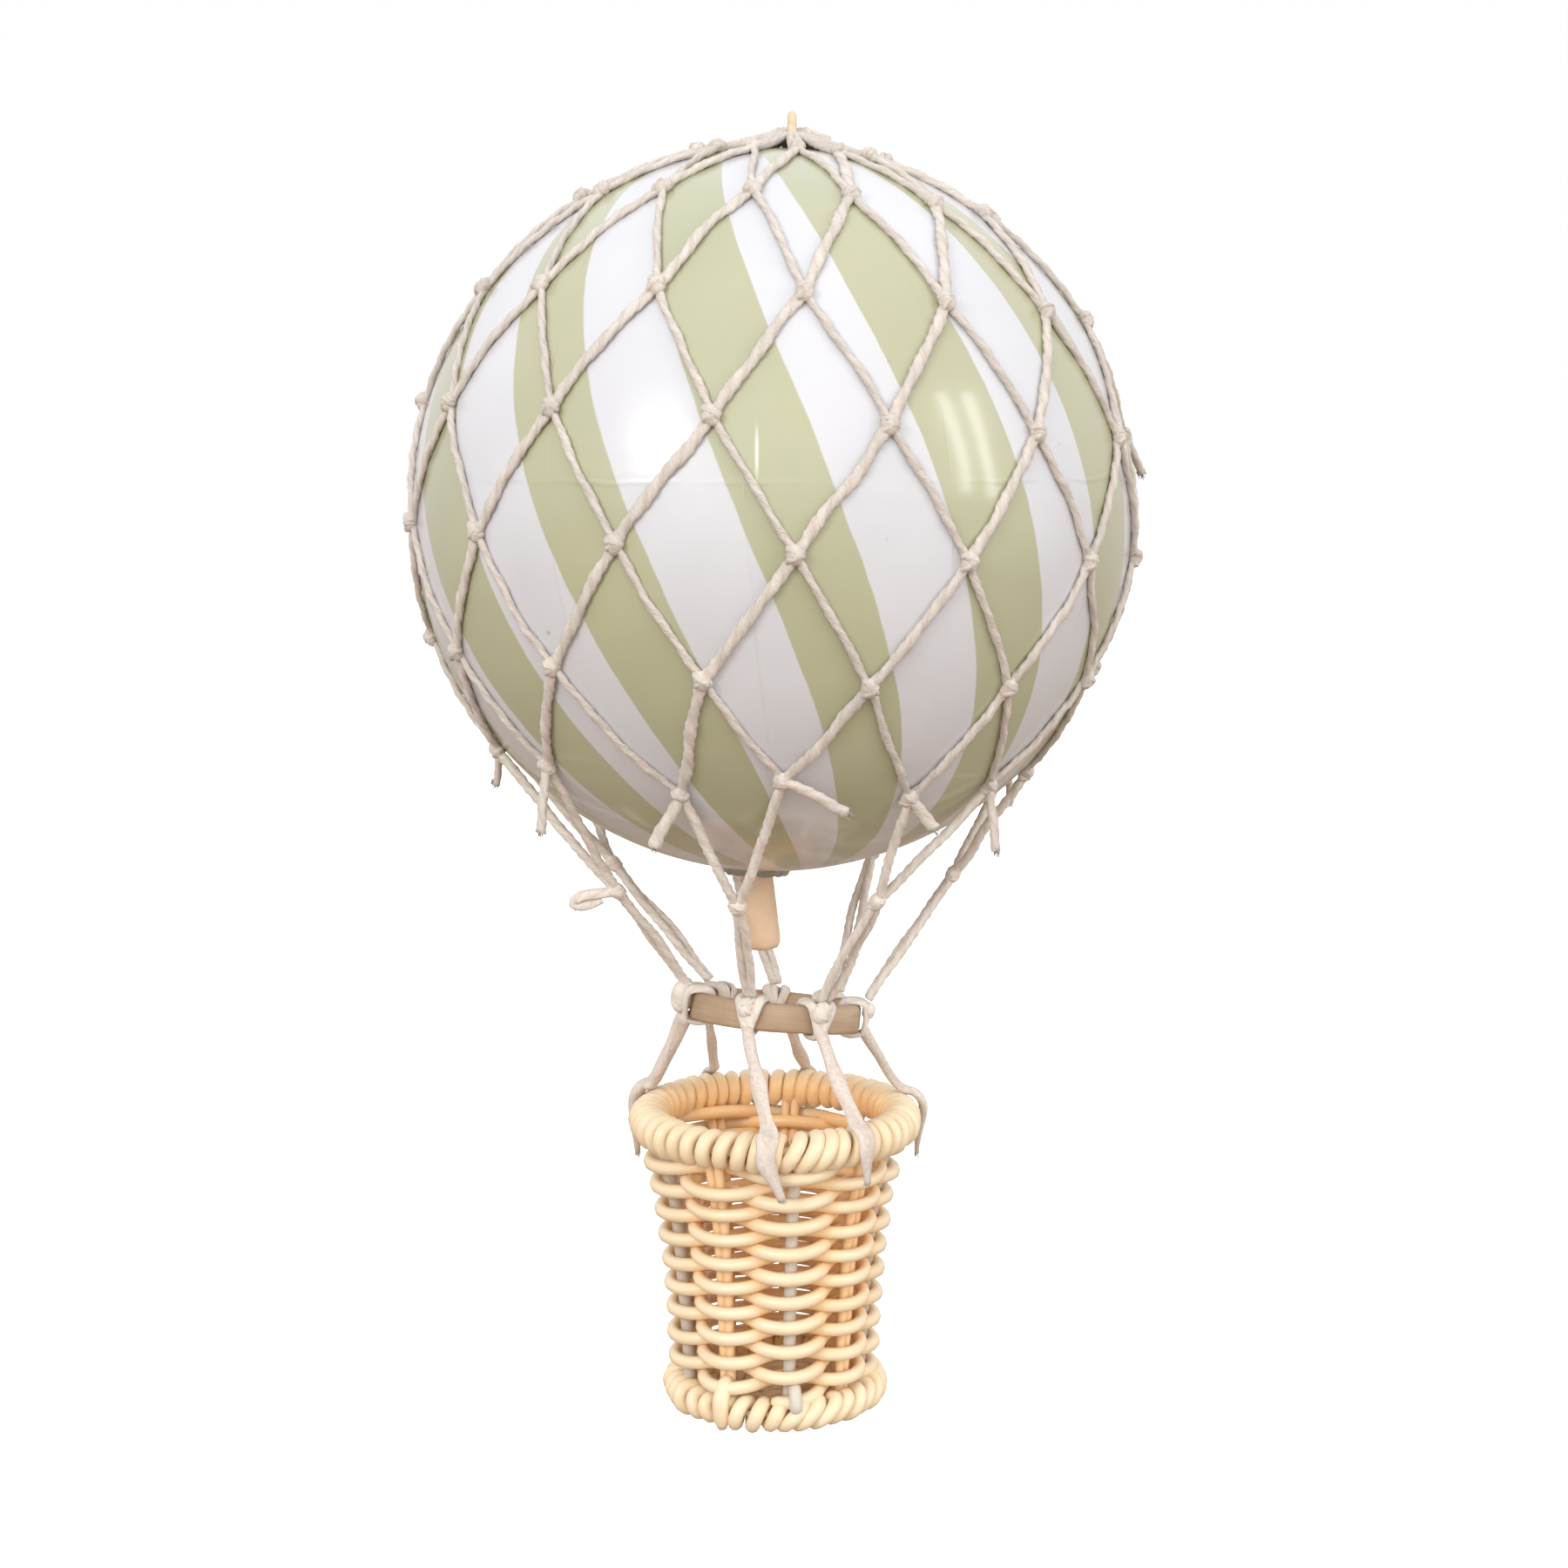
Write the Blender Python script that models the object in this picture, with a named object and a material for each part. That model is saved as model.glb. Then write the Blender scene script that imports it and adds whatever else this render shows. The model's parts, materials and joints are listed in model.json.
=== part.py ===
"""Hot air balloon mobile: a papier-mache ball in a knotted cotton net that carries a cane ring and a rattan basket.

Units are metres, +Z is up, and the hanging thread bears on the origin. The photo is taken from -Y.
"""

import math

import bmesh
import bpy
from mathutils import Matrix, Vector

GAP = 0.0003  # clearance kept between pieces that touch

# Hang ring: a small wire ring in the YZ plane.
HANG_BORE_RADIUS = 0.0015
HANG_WIRE = 0.0014

# Envelope: its axis leans to the right at the top, and its crown sits under the hang ring.
BALL_RADIUS = 0.050
BALL_LEAN = math.radians(2.96)
CROWN_CORD_HEIGHT = 0.05225  # above the ball's centre, where the net's crown cord passes through the ring
CROWN_CORD_FLAT = 0.0015  # half the level stretch of that cord
DIMPLE_RADIUS = 0.0035
DIMPLE_HEIGHT = 0.0490
MOUTH_RADIUS = 0.0042
MOUTH_DEPTH = 0.0060  # the inside beyond this shows nowhere, so the ball is solid there
MOUTH_LIP = 0.0014  # the torn paper edge round the mouth, below the ball
MOUTH_LIP_WIDTH = 0.0008
MOUTH_LIP_ROOT_RADIUS = 0.0062

# Filler neck, hanging from the top of the mouth's recess with its lower end to the right.
NECK_LEAN = math.radians(-5.3)
NECK_LENGTH = 0.0168
NECK_RADIUS = 0.0023
NECK_BORE_RADIUS = 0.0012
NECK_LIP_RADIUS = 0.0025
NECK_ROOT_RADIUS = 0.0034
NECK_ROOT = 0.0012

# Net: rows of knots, by latitude and by the azimuth of their first knot from -Y towards +X.
NET_COLUMNS = 14
NET_CORD = 0.0018
NET_THICKNESS = 0.0010  # it is soft and lies flat on the ball
CROWN_LATITUDE = 84.8
CROWN_RIGHT = 3  # the crown point that lies at +X; the one half a turn on lies at -X
CROWN_FIRST = 90 - CROWN_RIGHT * 360 / NET_COLUMNS
NET_ROWS = (
    # latitude, first azimuth
    (75.0, 3.6),
    (56.0, -9.2),
    (34.5, 3.6),
    (15.0, -9.2),
    (-3.5, 3.6),
    (-22.5, -9.2),
    (-42.0, 3.6),
)
CORD_CUTS = 1  # extra points along a cord between two knots
SHORT_CORD = 0.010  # a cord shorter than this stays straight
KNOT_RISE = 0.0005  # how far a knot stands above the cords that meet in it
SPARE_CELL = 16.0  # degrees that the lowest cells reach below the last row, to give its cords their full width

# Stays: two legs from the net's last row meet in a knot, and a double cord runs on to the load ring.
STAY_LEG = 0.0015
STAY_DOUBLE = 0.0026
STAY_KNOT_RADIUS = 0.0255
STAY_KNOT_HEIGHT = -0.0512  # from the ball's centre
STAYS = (
    # azimuth of the knot, azimuth of the hitch
    (-11.0, -17.0),
    (33.0, 30.0),
    (91.0, 86.0),
    (145.0, 136.0),
    (196.0, 180.0),
    (248.0, 228.0),
    (302.0, 277.0),
)
FIRST_PAIR = 13  # the last row's knot that starts the first stay's pair

# Load ring: a flat band, its right side low and its front high.
RING_HEIGHT = -0.0711  # from the ball's centre
RING_RADIUS = 0.0123
RING_INNER_RADIUS = 0.0101
RING_DEPTH = 0.0040
RING_ROUND_OFF = 0.0007
RING_RIGHT_LOW = math.radians(5.0)
RING_FRONT_HIGH = math.radians(8.0)
HITCH_WIDTH = 0.0034
HITCH_CORD = 0.0010

# Basket, from the ball's centre down. Its axis, and the load ring's, is a little to the left of the hang ring.
BASKET_X = -0.0024
RIM_HEIGHT = -0.0870
RIM_RADIUS = 0.0182
RIM_CORE = 0.0059
RIM_WRAPS = 50
RIM_SLANT = 0.25  # of the space between two wraps
FOOT_HEIGHT = -0.1263
FOOT_RADIUS = 0.0139
FOOT_CORE = 0.0050
FOOT_WRAPS = 36
FOOT_SLANT = 0.5
WRAP_GROOVE = 0.0004
WRAP_SIDES = 8
REED = 0.0020
WEAVE_SWING = 0.0019  # how far the reed's middle passes outside and inside that of the stakes
WEAVE_ROWS = 18
WEAVE_GROOVE = 0.0004
STAKES = 9
FIRST_STAKE = 11.0  # azimuth
STAKE_HALF_WIDTH = 5.0  # degrees
STAKE_SAMPLES = (-5.0, 5.0, 15.0, 25.0)  # azimuths from a stake at which the wall's rows are drawn
WALL_OUTLINE = (
    # outer radius, height
    (0.0188, -0.0903),
    (0.0176, -0.0965),
    (0.0167, -0.1040),
    (0.0159, -0.1130),
    (0.0154, -0.1235),
)
FLOOR_RADIUS = 0.0111
FLOOR_THICKNESS = 0.0022

# Basket cords: flat soft cord from a hitch over the rim, with a cut tail.
CORD_WIDTH = 0.0024
CORD_THICKNESS = 0.0010
BASKET_CORDS = (
    # azimuth at the load ring, azimuth at the rim, tail length
    (-17.0, -3.0, 0.0085),
    (30.0, 36.0, 0.0075),
    (86.0, 103.0, 0.0070),
    (180.0, 166.0, 0.0060),
    (228.0, 206.0, 0.0060),
    (277.0, 250.0, 0.0080),
)

ROUND = 48  # segments of the large turned pieces


def material(name, colour, roughness, metallic=0.0):
    made = bpy.data.materials.new(name)
    made.use_nodes = True
    shader = made.node_tree.nodes["Principled BSDF"]
    shader.inputs["Base Color"].default_value = (*colour, 1.0)
    shader.inputs["Roughness"].default_value = roughness
    shader.inputs["Metallic"].default_value = metallic
    return made


def add_object(name, mesh, finish, place=Matrix(), crease=40):
    """Links the mesh as one named piece, shaded smooth but for edges of more than crease degrees."""
    mesh.name = name
    mesh.materials.clear()
    mesh.materials.append(finish)
    mesh.shade_smooth()
    mesh.set_sharp_from_angle(angle=math.radians(crease))
    obj = bpy.data.objects.new(name, mesh)
    obj.matrix_world = place
    bpy.context.scene.collection.objects.link(obj)
    return obj


def mesh_of(vertices, faces):
    mesh = bpy.data.meshes.new("shape")
    mesh.from_pydata([tuple(v) for v in vertices], [], faces)
    shape = bmesh.new()
    shape.from_mesh(mesh)
    bmesh.ops.recalc_face_normals(shape, faces=shape.faces)
    shape.to_mesh(mesh)
    shape.free()
    return mesh


def at(radius, azimuth, height):
    """The point at this azimuth in degrees, counted from -Y towards +X."""
    angle = math.radians(azimuth)
    return Vector((radius * math.sin(angle), -radius * math.cos(angle), height))


def turned(outline, segments=ROUND):
    """A solid of revolution about Z from a closed outline of (radius, height); points on the axis stay single."""
    vertices = []
    rings = []
    for radius, height in outline:
        if radius == 0:
            rings.append([len(vertices)] * segments)
            vertices.append((0, 0, height))
        else:
            rings.append(range(len(vertices), len(vertices) + segments))
            vertices += [at(radius, 360 * i / segments, height) for i in range(segments)]
    faces = []
    closed = outline[0][0] != 0
    for first, second in zip(rings, rings[1:] + (rings[:1] if closed else [])):
        for i in range(segments):
            j = (i + 1) % segments
            corners = list(dict.fromkeys((first[i], first[j], second[j], second[i])))
            if len(corners) > 2:
                faces.append(corners)
    return mesh_of(vertices, faces)


def looped(rings):
    """A ring-shaped solid from closed loops of points, each joined to the next and the last to the first."""
    count = len(rings[0])
    faces = []
    for k in range(len(rings)):
        first, second = k * count, (k + 1) % len(rings) * count
        for i in range(count):
            j = (i + 1) % count
            faces.append((first + i, first + j, second + j, second + i))
    return mesh_of([point for ring in rings for point in ring], faces)


def arc(centre, radius, start, end, count):
    """Points (radius, height) on an arc of a turned outline, angles in degrees from the horizontal."""
    steps = [math.radians(start + (end - start) * i / (count - 1)) for i in range(count)]
    return [(centre[0] + radius * math.cos(a), centre[1] + radius * math.sin(a)) for a in steps]


def swept(points, width, thickness, outwards, sides=6):
    """A cord along the points, width across and thickness along the direction that outwards gives at each point."""
    vertices = []
    for i, point in enumerate(points):
        along = (points[min(i + 1, len(points) - 1)] - points[max(i - 1, 0)]).normalized()
        side = along.cross(outwards(point)).normalized()
        normal = side.cross(along)
        for k in range(sides):
            angle = math.tau * (k + 0.5) / sides
            vertices.append(
                point + side * (width / 2 * math.cos(angle)) + normal * (thickness / 2 * math.sin(angle))
            )
    faces = []
    for i in range(len(points) - 1):
        for k in range(sides):
            m = (k + 1) % sides
            faces.append([i * sides + k, i * sides + m, (i + 1) * sides + m, (i + 1) * sides + k])
    faces.append(list(range(sides)))
    faces.append(list(range((len(points) - 1) * sides, len(points) * sides)))
    return mesh_of(vertices, faces)


def moved(mesh, place):
    mesh.transform(place)
    return mesh


def evaluated_mesh(obj):
    graph = bpy.context.evaluated_depsgraph_get()
    return bpy.data.meshes.new_from_object(obj.evaluated_get(graph))


def united(meshes):
    """One closed mesh from several that overlap."""
    whole = bpy.data.objects.new("whole", meshes[0])
    bpy.context.scene.collection.objects.link(whole)
    others = []
    for mesh in meshes[1:]:
        other = bpy.data.objects.new("other", mesh)
        bpy.context.scene.collection.objects.link(other)
        join = whole.modifiers.new("join", "BOOLEAN")
        join.operation = "UNION"
        join.solver = "EXACT"
        join.object = other
        others.append(other)
    result = evaluated_mesh(whole)
    for obj in [whole] + others:
        bpy.data.objects.remove(obj)
    return result


def ball_place():
    """The leaning frame of the ball: its centre is set so that the crown cord passes through the hang ring."""
    lean = Matrix.Rotation(BALL_LEAN, 4, "Y")
    cord_in_ring = Vector((0, 0, -HANG_BORE_RADIUS))
    centre = cord_in_ring - lean @ Vector((0, 0, CROWN_CORD_HEIGHT))
    return Matrix.Translation(centre) @ lean


BALL = ball_place()
UPRIGHT = Matrix.Translation((BASKET_X, BALL.translation.y, BALL.translation.z))  # of ring and basket
RING = UPRIGHT @ Matrix.Translation((0, 0, RING_HEIGHT))
RING = RING @ Matrix.Rotation(RING_RIGHT_LOW, 4, "Y") @ Matrix.Rotation(-RING_FRONT_HIGH, 4, "X")


def from_axis(point):
    """Straight out from the upright axis of ring and basket."""
    return Vector((point.x - UPRIGHT.translation.x, point.y - UPRIGHT.translation.y, 0)).normalized()


def make_hang_ring():
    bpy.ops.mesh.primitive_torus_add(
        major_radius=HANG_BORE_RADIUS + HANG_WIRE / 2,
        minor_radius=HANG_WIRE / 2,
        major_segments=24,
        minor_segments=10,
        location=(0, 0, -HANG_BORE_RADIUS),
        rotation=(0, math.pi / 2, 0),
    )
    made = bpy.context.object
    made.name = "hang_ring"
    made.data.materials.append(material("hang_ring", (0.72, 0.53, 0.30), 0.35, 0.6))
    made.data.shade_smooth()


def make_envelope():
    """From the dimpled crown down the outside to the mouth and up into its recess."""
    dimple = math.degrees(math.acos(DIMPLE_RADIUS / BALL_RADIUS))
    lip_root = -math.degrees(math.acos(MOUTH_LIP_ROOT_RADIUS / BALL_RADIUS))
    lip = -BALL_RADIUS - MOUTH_LIP
    recess_top = -BALL_RADIUS + MOUTH_DEPTH
    outline = [(0, DIMPLE_HEIGHT)]
    outline += arc((0, 0), BALL_RADIUS, dimple, lip_root, 24)
    outline += [(MOUTH_RADIUS + MOUTH_LIP_WIDTH, lip), (MOUTH_RADIUS, lip), (MOUTH_RADIUS, recess_top), (0, recess_top)]
    add_object("envelope", turned(outline), material("envelope", (0.62, 0.65, 0.42), 0.25), BALL)


def make_filler_neck():
    """A tube with a rolled lip, its wider root under the top of the mouth's recess."""
    lip = (NECK_LIP_RADIUS + NECK_BORE_RADIUS) / 2
    lip_round = (NECK_LIP_RADIUS - NECK_BORE_RADIUS) / 2
    outline = [
        (NECK_BORE_RADIUS, 0),
        (NECK_ROOT_RADIUS, 0),
        (NECK_ROOT_RADIUS, -NECK_ROOT),
        (NECK_RADIUS, -2 * NECK_ROOT),
        (NECK_RADIUS, -NECK_LENGTH + 5 * lip_round),
    ]
    outline += arc((lip, -NECK_LENGTH + lip_round), lip_round, 45, -180, 7)
    tilted_edge = NECK_ROOT_RADIUS * math.sin(BALL_LEAN - NECK_LEAN)
    top = BALL @ Vector((0, 0, -BALL_RADIUS + MOUTH_DEPTH - GAP - tilted_edge))
    place = Matrix.Translation(top) @ Matrix.Rotation(NECK_LEAN, 4, "Y")
    add_object("filler_neck", turned(outline, 24), material("filler_neck", (0.83, 0.61, 0.36), 0.55), place)


def on_net(latitude, azimuth):
    latitude = math.radians(latitude)
    radius = BALL_RADIUS + 2 * GAP
    return at(radius * math.cos(latitude), azimuth, radius * math.sin(latitude))


def net_knot(row, column):
    """Knots of a row that starts left of the front count on from there, so each lies between two of the row above."""
    latitude, first = NET_ROWS[row]
    return on_net(latitude, first + 360 * column / NET_COLUMNS)


def lay_on_ball(net):
    """Lifts what cuts below the ball's surface out to it."""
    surface = BALL_RADIUS + 2 * GAP
    for vertex in net.verts:
        if vertex.co.length < surface:
            vertex.co = vertex.co.normalized() * surface


def make_net():
    """A lattice of diamonds on the ball, cut down to bands along its edges. A crown cord crosses its top."""
    net = bmesh.new()
    knots = [[net.verts.new(net_knot(r, c)) for c in range(NET_COLUMNS)] for r in range(len(NET_ROWS))]
    crown = [
        net.verts.new(on_net(CROWN_LATITUDE, CROWN_FIRST + 360 * c / NET_COLUMNS)) for c in range(NET_COLUMNS)
    ]
    last_latitude, last_azimuth = NET_ROWS[-1]
    for c in range(NET_COLUMNS):
        after = (c + 1) % NET_COLUMNS
        net.faces.new((crown[c], knots[0][c], knots[1][after], knots[0][after], crown[after]))
        for r in range(len(NET_ROWS) - 2):
            # the row below starts half a column to the left on even rows and to the right on odd ones
            left, right = (c, after) if r % 2 == 0 else ((c - 1) % NET_COLUMNS, c)
            net.faces.new((knots[r][c], knots[r + 1][left], knots[r + 2][c], knots[r + 1][right]))
        below = on_net(last_latitude - SPARE_CELL, last_azimuth + 360 * (c + 0.5) / NET_COLUMNS)
        net.faces.new((knots[-2][after], knots[-1][c], net.verts.new(below), knots[-1][after]))
    under_cord = CROWN_CORD_HEIGHT - NET_THICKNESS / 2
    crown_cord = [net.verts.new((x, 0, under_cord)) for x in (-CROWN_CORD_FLAT, CROWN_CORD_FLAT)]
    crown_left = CROWN_RIGHT + NET_COLUMNS // 2
    net.faces.new(crown[CROWN_RIGHT : crown_left + 1] + crown_cord)
    net.faces.new(crown[crown_left:] + crown[: CROWN_RIGHT + 1] + crown_cord[::-1])
    bmesh.ops.subdivide_edges(net, edges=[e for e in net.edges if e.calc_length() > SHORT_CORD], cuts=CORD_CUTS)
    lay_on_ball(net)
    lowest = BALL_RADIUS * math.sin(math.radians(last_latitude))
    for vertex in net.verts:
        if len(vertex.link_edges) == 4 and vertex.co.z > lowest:
            vertex.co += vertex.co.normalized() * KNOT_RISE
    net.normal_update()
    cells = list(net.faces)
    bmesh.ops.reverse_faces(net, faces=[f for f in cells if f.normal.dot(f.calc_center_median()) < 0])
    bmesh.ops.inset_individual(net, faces=cells, thickness=NET_CORD / 2, use_even_offset=True)
    lay_on_ball(net)
    spare = [f for f in net.faces if f in cells or f.calc_center_median().z < lowest]
    bmesh.ops.delete(net, geom=spare, context="FACES")
    mesh = bpy.data.meshes.new("net")
    net.to_mesh(mesh)
    net.free()
    made = add_object("net", mesh, material("net", (0.78, 0.72, 0.63), 0.9), BALL)
    cord = made.modifiers.new("cord", "SOLIDIFY")
    cord.thickness = NET_THICKNESS
    cord.offset = 1
    cord.use_even_offset = False


def make_load_ring():
    half = RING_DEPTH / 2
    outline = [
        (RING_RADIUS, half - RING_ROUND_OFF),
        (RING_RADIUS, -half + RING_ROUND_OFF),
        (RING_RADIUS - RING_ROUND_OFF, -half),
        (RING_INNER_RADIUS + RING_ROUND_OFF, -half),
        (RING_INNER_RADIUS, -half + RING_ROUND_OFF),
        (RING_INNER_RADIUS, half - RING_ROUND_OFF),
        (RING_INNER_RADIUS + RING_ROUND_OFF, half),
        (RING_RADIUS - RING_ROUND_OFF, half),
    ]
    add_object("load_ring", turned(outline, 40), material("load_ring", (0.58, 0.45, 0.32), 0.5), RING)


def hitch(azimuth):
    """A flat wrap of cord round the load ring's band."""
    clear = GAP + 0.0001
    inner = [RING_RADIUS + clear, RING_INNER_RADIUS - clear, RING_DEPTH / 2 + clear]
    outer = [inner[0] + HITCH_CORD, inner[1] - HITCH_CORD, inner[2] + HITCH_CORD]
    vertices = []
    for side in (-HITCH_WIDTH / 2, HITCH_WIDTH / 2):
        for far, near, top in (inner, outer):
            for radius, height in ((far, top), (far, -top), (near, -top), (near, top)):
                vertices.append(Vector((side, -radius, height)))
    faces = []
    for k in range(4):
        m = (k + 1) % 4
        faces.append((k, m, 4 + m, 4 + k))
        faces.append((8 + k, 8 + m, 12 + m, 12 + k))
        faces.append((k, m, 8 + m, 8 + k))
        faces.append((4 + k, 4 + m, 12 + m, 12 + k))
    return moved(mesh_of(vertices, faces), RING @ Matrix.Rotation(math.radians(azimuth), 4, "Z"))


def knot_ball(centre, radius):
    shape = bmesh.new()
    bmesh.ops.create_icosphere(shape, subdivisions=2, radius=radius, matrix=Matrix.Translation(centre))
    mesh = bpy.data.meshes.new("knot")
    shape.to_mesh(mesh)
    shape.free()
    return mesh


def between(start, end, count):
    return [start.lerp(end, i / (count - 1)) for i in range(count)]


def make_stays():
    finish = material("stay", (0.78, 0.72, 0.63), 0.9)
    clear_of_net = NET_CORD / 2 + STAY_LEG / 2 + GAP
    for number, (knot_azimuth, hitch_azimuth) in enumerate(STAYS):
        knot = UPRIGHT @ at(STAY_KNOT_RADIUS, knot_azimuth, STAY_KNOT_HEIGHT)
        parts = []
        for step in range(2):
            column = (FIRST_PAIR + 2 * number + step) % NET_COLUMNS
            last_knot = net_knot(len(NET_ROWS) - 1, column)
            above = BALL @ (last_knot + last_knot.normalized() * NET_THICKNESS / 2)
            start = above + (knot - above).normalized() * clear_of_net
            parts.append(swept(between(start, knot, 3), STAY_LEG, STAY_LEG, from_axis))
        top = RING @ at(RING_RADIUS + GAP + HITCH_CORD * 0.7, hitch_azimuth, RING_DEPTH / 2 + GAP + HITCH_CORD * 0.3)
        parts.append(swept(between(knot, top, 3), STAY_DOUBLE, STAY_LEG, from_axis))
        parts.append(knot_ball(knot, STAY_DOUBLE * 0.62))
        parts.append(hitch(hitch_azimuth))
        add_object(f"stay_{number + 1}", united(parts), finish)


def wrapped(radius, height, core, wraps, slant):
    """A ring wound with reed: a ridge for each turn, and a groove before the next."""
    rings = []
    for k in range(WRAP_SIDES):
        turn = math.tau * k / WRAP_SIDES
        ring = []
        for i in range(2 * wraps):
            bulge = core / 2 - i % 2 * WRAP_GROOVE
            azimuth = 360 * (i / 2 + slant * math.sin(turn)) / wraps
            ring.append(at(radius + bulge * math.cos(turn), azimuth, height + bulge * math.sin(turn)))
        rings.append(ring)
    return looped(rings)


def wall_radius(height):
    """Outer radius of the woven wall at this height."""
    for (radius, top), (next_radius, bottom) in zip(WALL_OUTLINE, WALL_OUTLINE[1:]):
        if height >= bottom:
            break
    return next_radius + (radius - next_radius) * (height - bottom) / (top - bottom)


def woven_wall():
    """Rows of one reed that passes outside and inside the stakes by turns, fused to each other and to the stakes."""
    top, bottom = WALL_OUTLINE[0][1], WALL_OUTLINE[-1][1]
    azimuths = [FIRST_STAKE + 360 * s / STAKES + sample for s in range(STAKES) for sample in STAKE_SAMPLES]
    outside = []
    inside = []
    for level in range(2 * WEAVE_ROWS + 1):
        height = bottom + (top - bottom) * level / (2 * WEAVE_ROWS)
        stake_radius = wall_radius(height) - WEAVE_SWING - REED / 2
        outer_ring = []
        inner_ring = []
        for i, azimuth in enumerate(azimuths):
            if level % 2:
                row = level // 2
                swing = WEAVE_SWING * math.cos(math.radians(180 * (STAKES * (azimuth - FIRST_STAKE) / 360 + row)))
                outer, inner = swing + REED / 2, swing - REED / 2
            else:
                outer, inner = REED / 2 - WEAVE_GROOVE, WEAVE_GROOVE - REED / 2
            if abs(STAKE_SAMPLES[i % len(STAKE_SAMPLES)]) <= STAKE_HALF_WIDTH:
                outer, inner = max(outer, REED / 2), min(inner, -REED / 2)
            outer_ring.append(at(stake_radius + outer, azimuth, height))
            inner_ring.append(at(stake_radius + inner, azimuth, height))
        outside.append(outer_ring)
        inside.append(inner_ring)
    return looped(outside + inside[::-1])


def make_basket():
    cane = (0.86, 0.66, 0.36)
    rim = wrapped(RIM_RADIUS, RIM_HEIGHT, RIM_CORE, RIM_WRAPS, RIM_SLANT)
    add_object("basket_rim", rim, material("basket_rim", cane, 0.5), UPRIGHT, 180)
    foot = wrapped(FOOT_RADIUS, FOOT_HEIGHT, FOOT_CORE, FOOT_WRAPS, FOOT_SLANT)
    add_object("basket_foot", foot, material("basket_foot", cane, 0.5), UPRIGHT, 180)
    add_object("basket_wall", woven_wall(), material("basket_wall", cane, 0.5), UPRIGHT, 180)
    top = FOOT_HEIGHT + FLOOR_THICKNESS / 2
    floor = [(0, top), (FLOOR_RADIUS, top), (FLOOR_RADIUS, top - FLOOR_THICKNESS), (0, top - FLOOR_THICKNESS)]
    add_object("basket_floor", turned(floor, 40), material("basket_floor", cane, 0.5), UPRIGHT)


def make_basket_cords():
    """Each cord runs from under its hitch to the rim, over the rim's outer side and down to a cut end."""
    finish = material("basket_cord", (0.80, 0.73, 0.63), 0.9)
    clear = RIM_CORE / 2 + GAP + CORD_THICKNESS / 2
    for number, (ring_azimuth, rim_azimuth, tail) in enumerate(BASKET_CORDS):
        start = RING @ at(
            RING_RADIUS - 0.0008, ring_azimuth, -RING_DEPTH / 2 - 3 * GAP - HITCH_CORD - CORD_THICKNESS / 2
        )
        over = []
        for angle in (75, 45, 15, -15):
            turn = math.radians(angle)
            over.append(
                UPRIGHT @ at(RIM_RADIUS + clear * math.cos(turn), rim_azimuth, RIM_HEIGHT + clear * math.sin(turn))
            )
        end = over[-1] - Vector((0, 0, tail))
        points = between(start, over[0], 5)[:-1] + over + [over[-1].lerp(end, 0.5), end]
        add_object(
            f"basket_cord_{number + 1}", swept(points, CORD_WIDTH, CORD_THICKNESS, from_axis), finish
        )


def main():
    for obj in list(bpy.data.objects):
        bpy.data.objects.remove(obj)
    make_hang_ring()
    make_envelope()
    make_filler_neck()
    make_net()
    make_load_ring()
    make_stays()
    make_basket()
    make_basket_cords()


main()
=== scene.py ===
"""Looks of the hanging hot air balloon: a varnished paper ball in a knotted net, a cane ring and a rattan basket.

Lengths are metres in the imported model's frame: +Z up, the photo taken from -Y, the hang ring's top at the origin.
"""

import json
import math

import bmesh
import bpy
import numpy as np
from bpy.props import FloatProperty, FloatVectorProperty, IntProperty, PointerProperty
from mathutils import Matrix, Vector, noise

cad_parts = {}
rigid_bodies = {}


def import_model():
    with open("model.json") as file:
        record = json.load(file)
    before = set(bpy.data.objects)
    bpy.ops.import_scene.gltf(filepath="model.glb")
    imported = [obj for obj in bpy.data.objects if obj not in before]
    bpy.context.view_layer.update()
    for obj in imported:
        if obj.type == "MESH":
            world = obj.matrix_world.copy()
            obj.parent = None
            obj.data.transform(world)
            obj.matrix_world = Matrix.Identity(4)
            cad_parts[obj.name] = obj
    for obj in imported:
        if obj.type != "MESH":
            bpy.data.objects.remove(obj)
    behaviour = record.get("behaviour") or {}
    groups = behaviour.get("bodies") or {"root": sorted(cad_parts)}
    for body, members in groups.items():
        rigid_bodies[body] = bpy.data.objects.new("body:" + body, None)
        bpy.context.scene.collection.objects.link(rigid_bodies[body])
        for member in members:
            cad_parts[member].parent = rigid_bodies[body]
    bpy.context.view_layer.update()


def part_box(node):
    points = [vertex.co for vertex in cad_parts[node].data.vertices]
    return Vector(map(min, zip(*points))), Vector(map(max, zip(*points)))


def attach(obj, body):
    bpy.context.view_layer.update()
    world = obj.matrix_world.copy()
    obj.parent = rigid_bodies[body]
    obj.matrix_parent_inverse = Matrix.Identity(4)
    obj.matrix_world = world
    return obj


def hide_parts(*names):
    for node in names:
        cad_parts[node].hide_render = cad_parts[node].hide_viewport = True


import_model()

bl_info = {
    "name": "Hanging balloon looks",
    "version": (1, 0, 0),
    "blender": (4, 5, 0),
    "location": "3D View > Sidebar > Balloon",
    "description": "Builds the paper ball, its net, the cane ring and the rattan basket around the packed frame",
    "category": "Object",
}

BODY = "balloon"
RIM_LOW, RIM_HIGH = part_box("basket_rim")
FOOT_LOW, FOOT_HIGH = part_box("basket_foot")
RING_LOW, RING_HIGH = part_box("load_ring")
AXIS = Vector(((RIM_LOW.x + RIM_HIGH.x) / 2, (RIM_LOW.y + RIM_HIGH.y) / 2, 0))  # ring and basket hang about it

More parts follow.
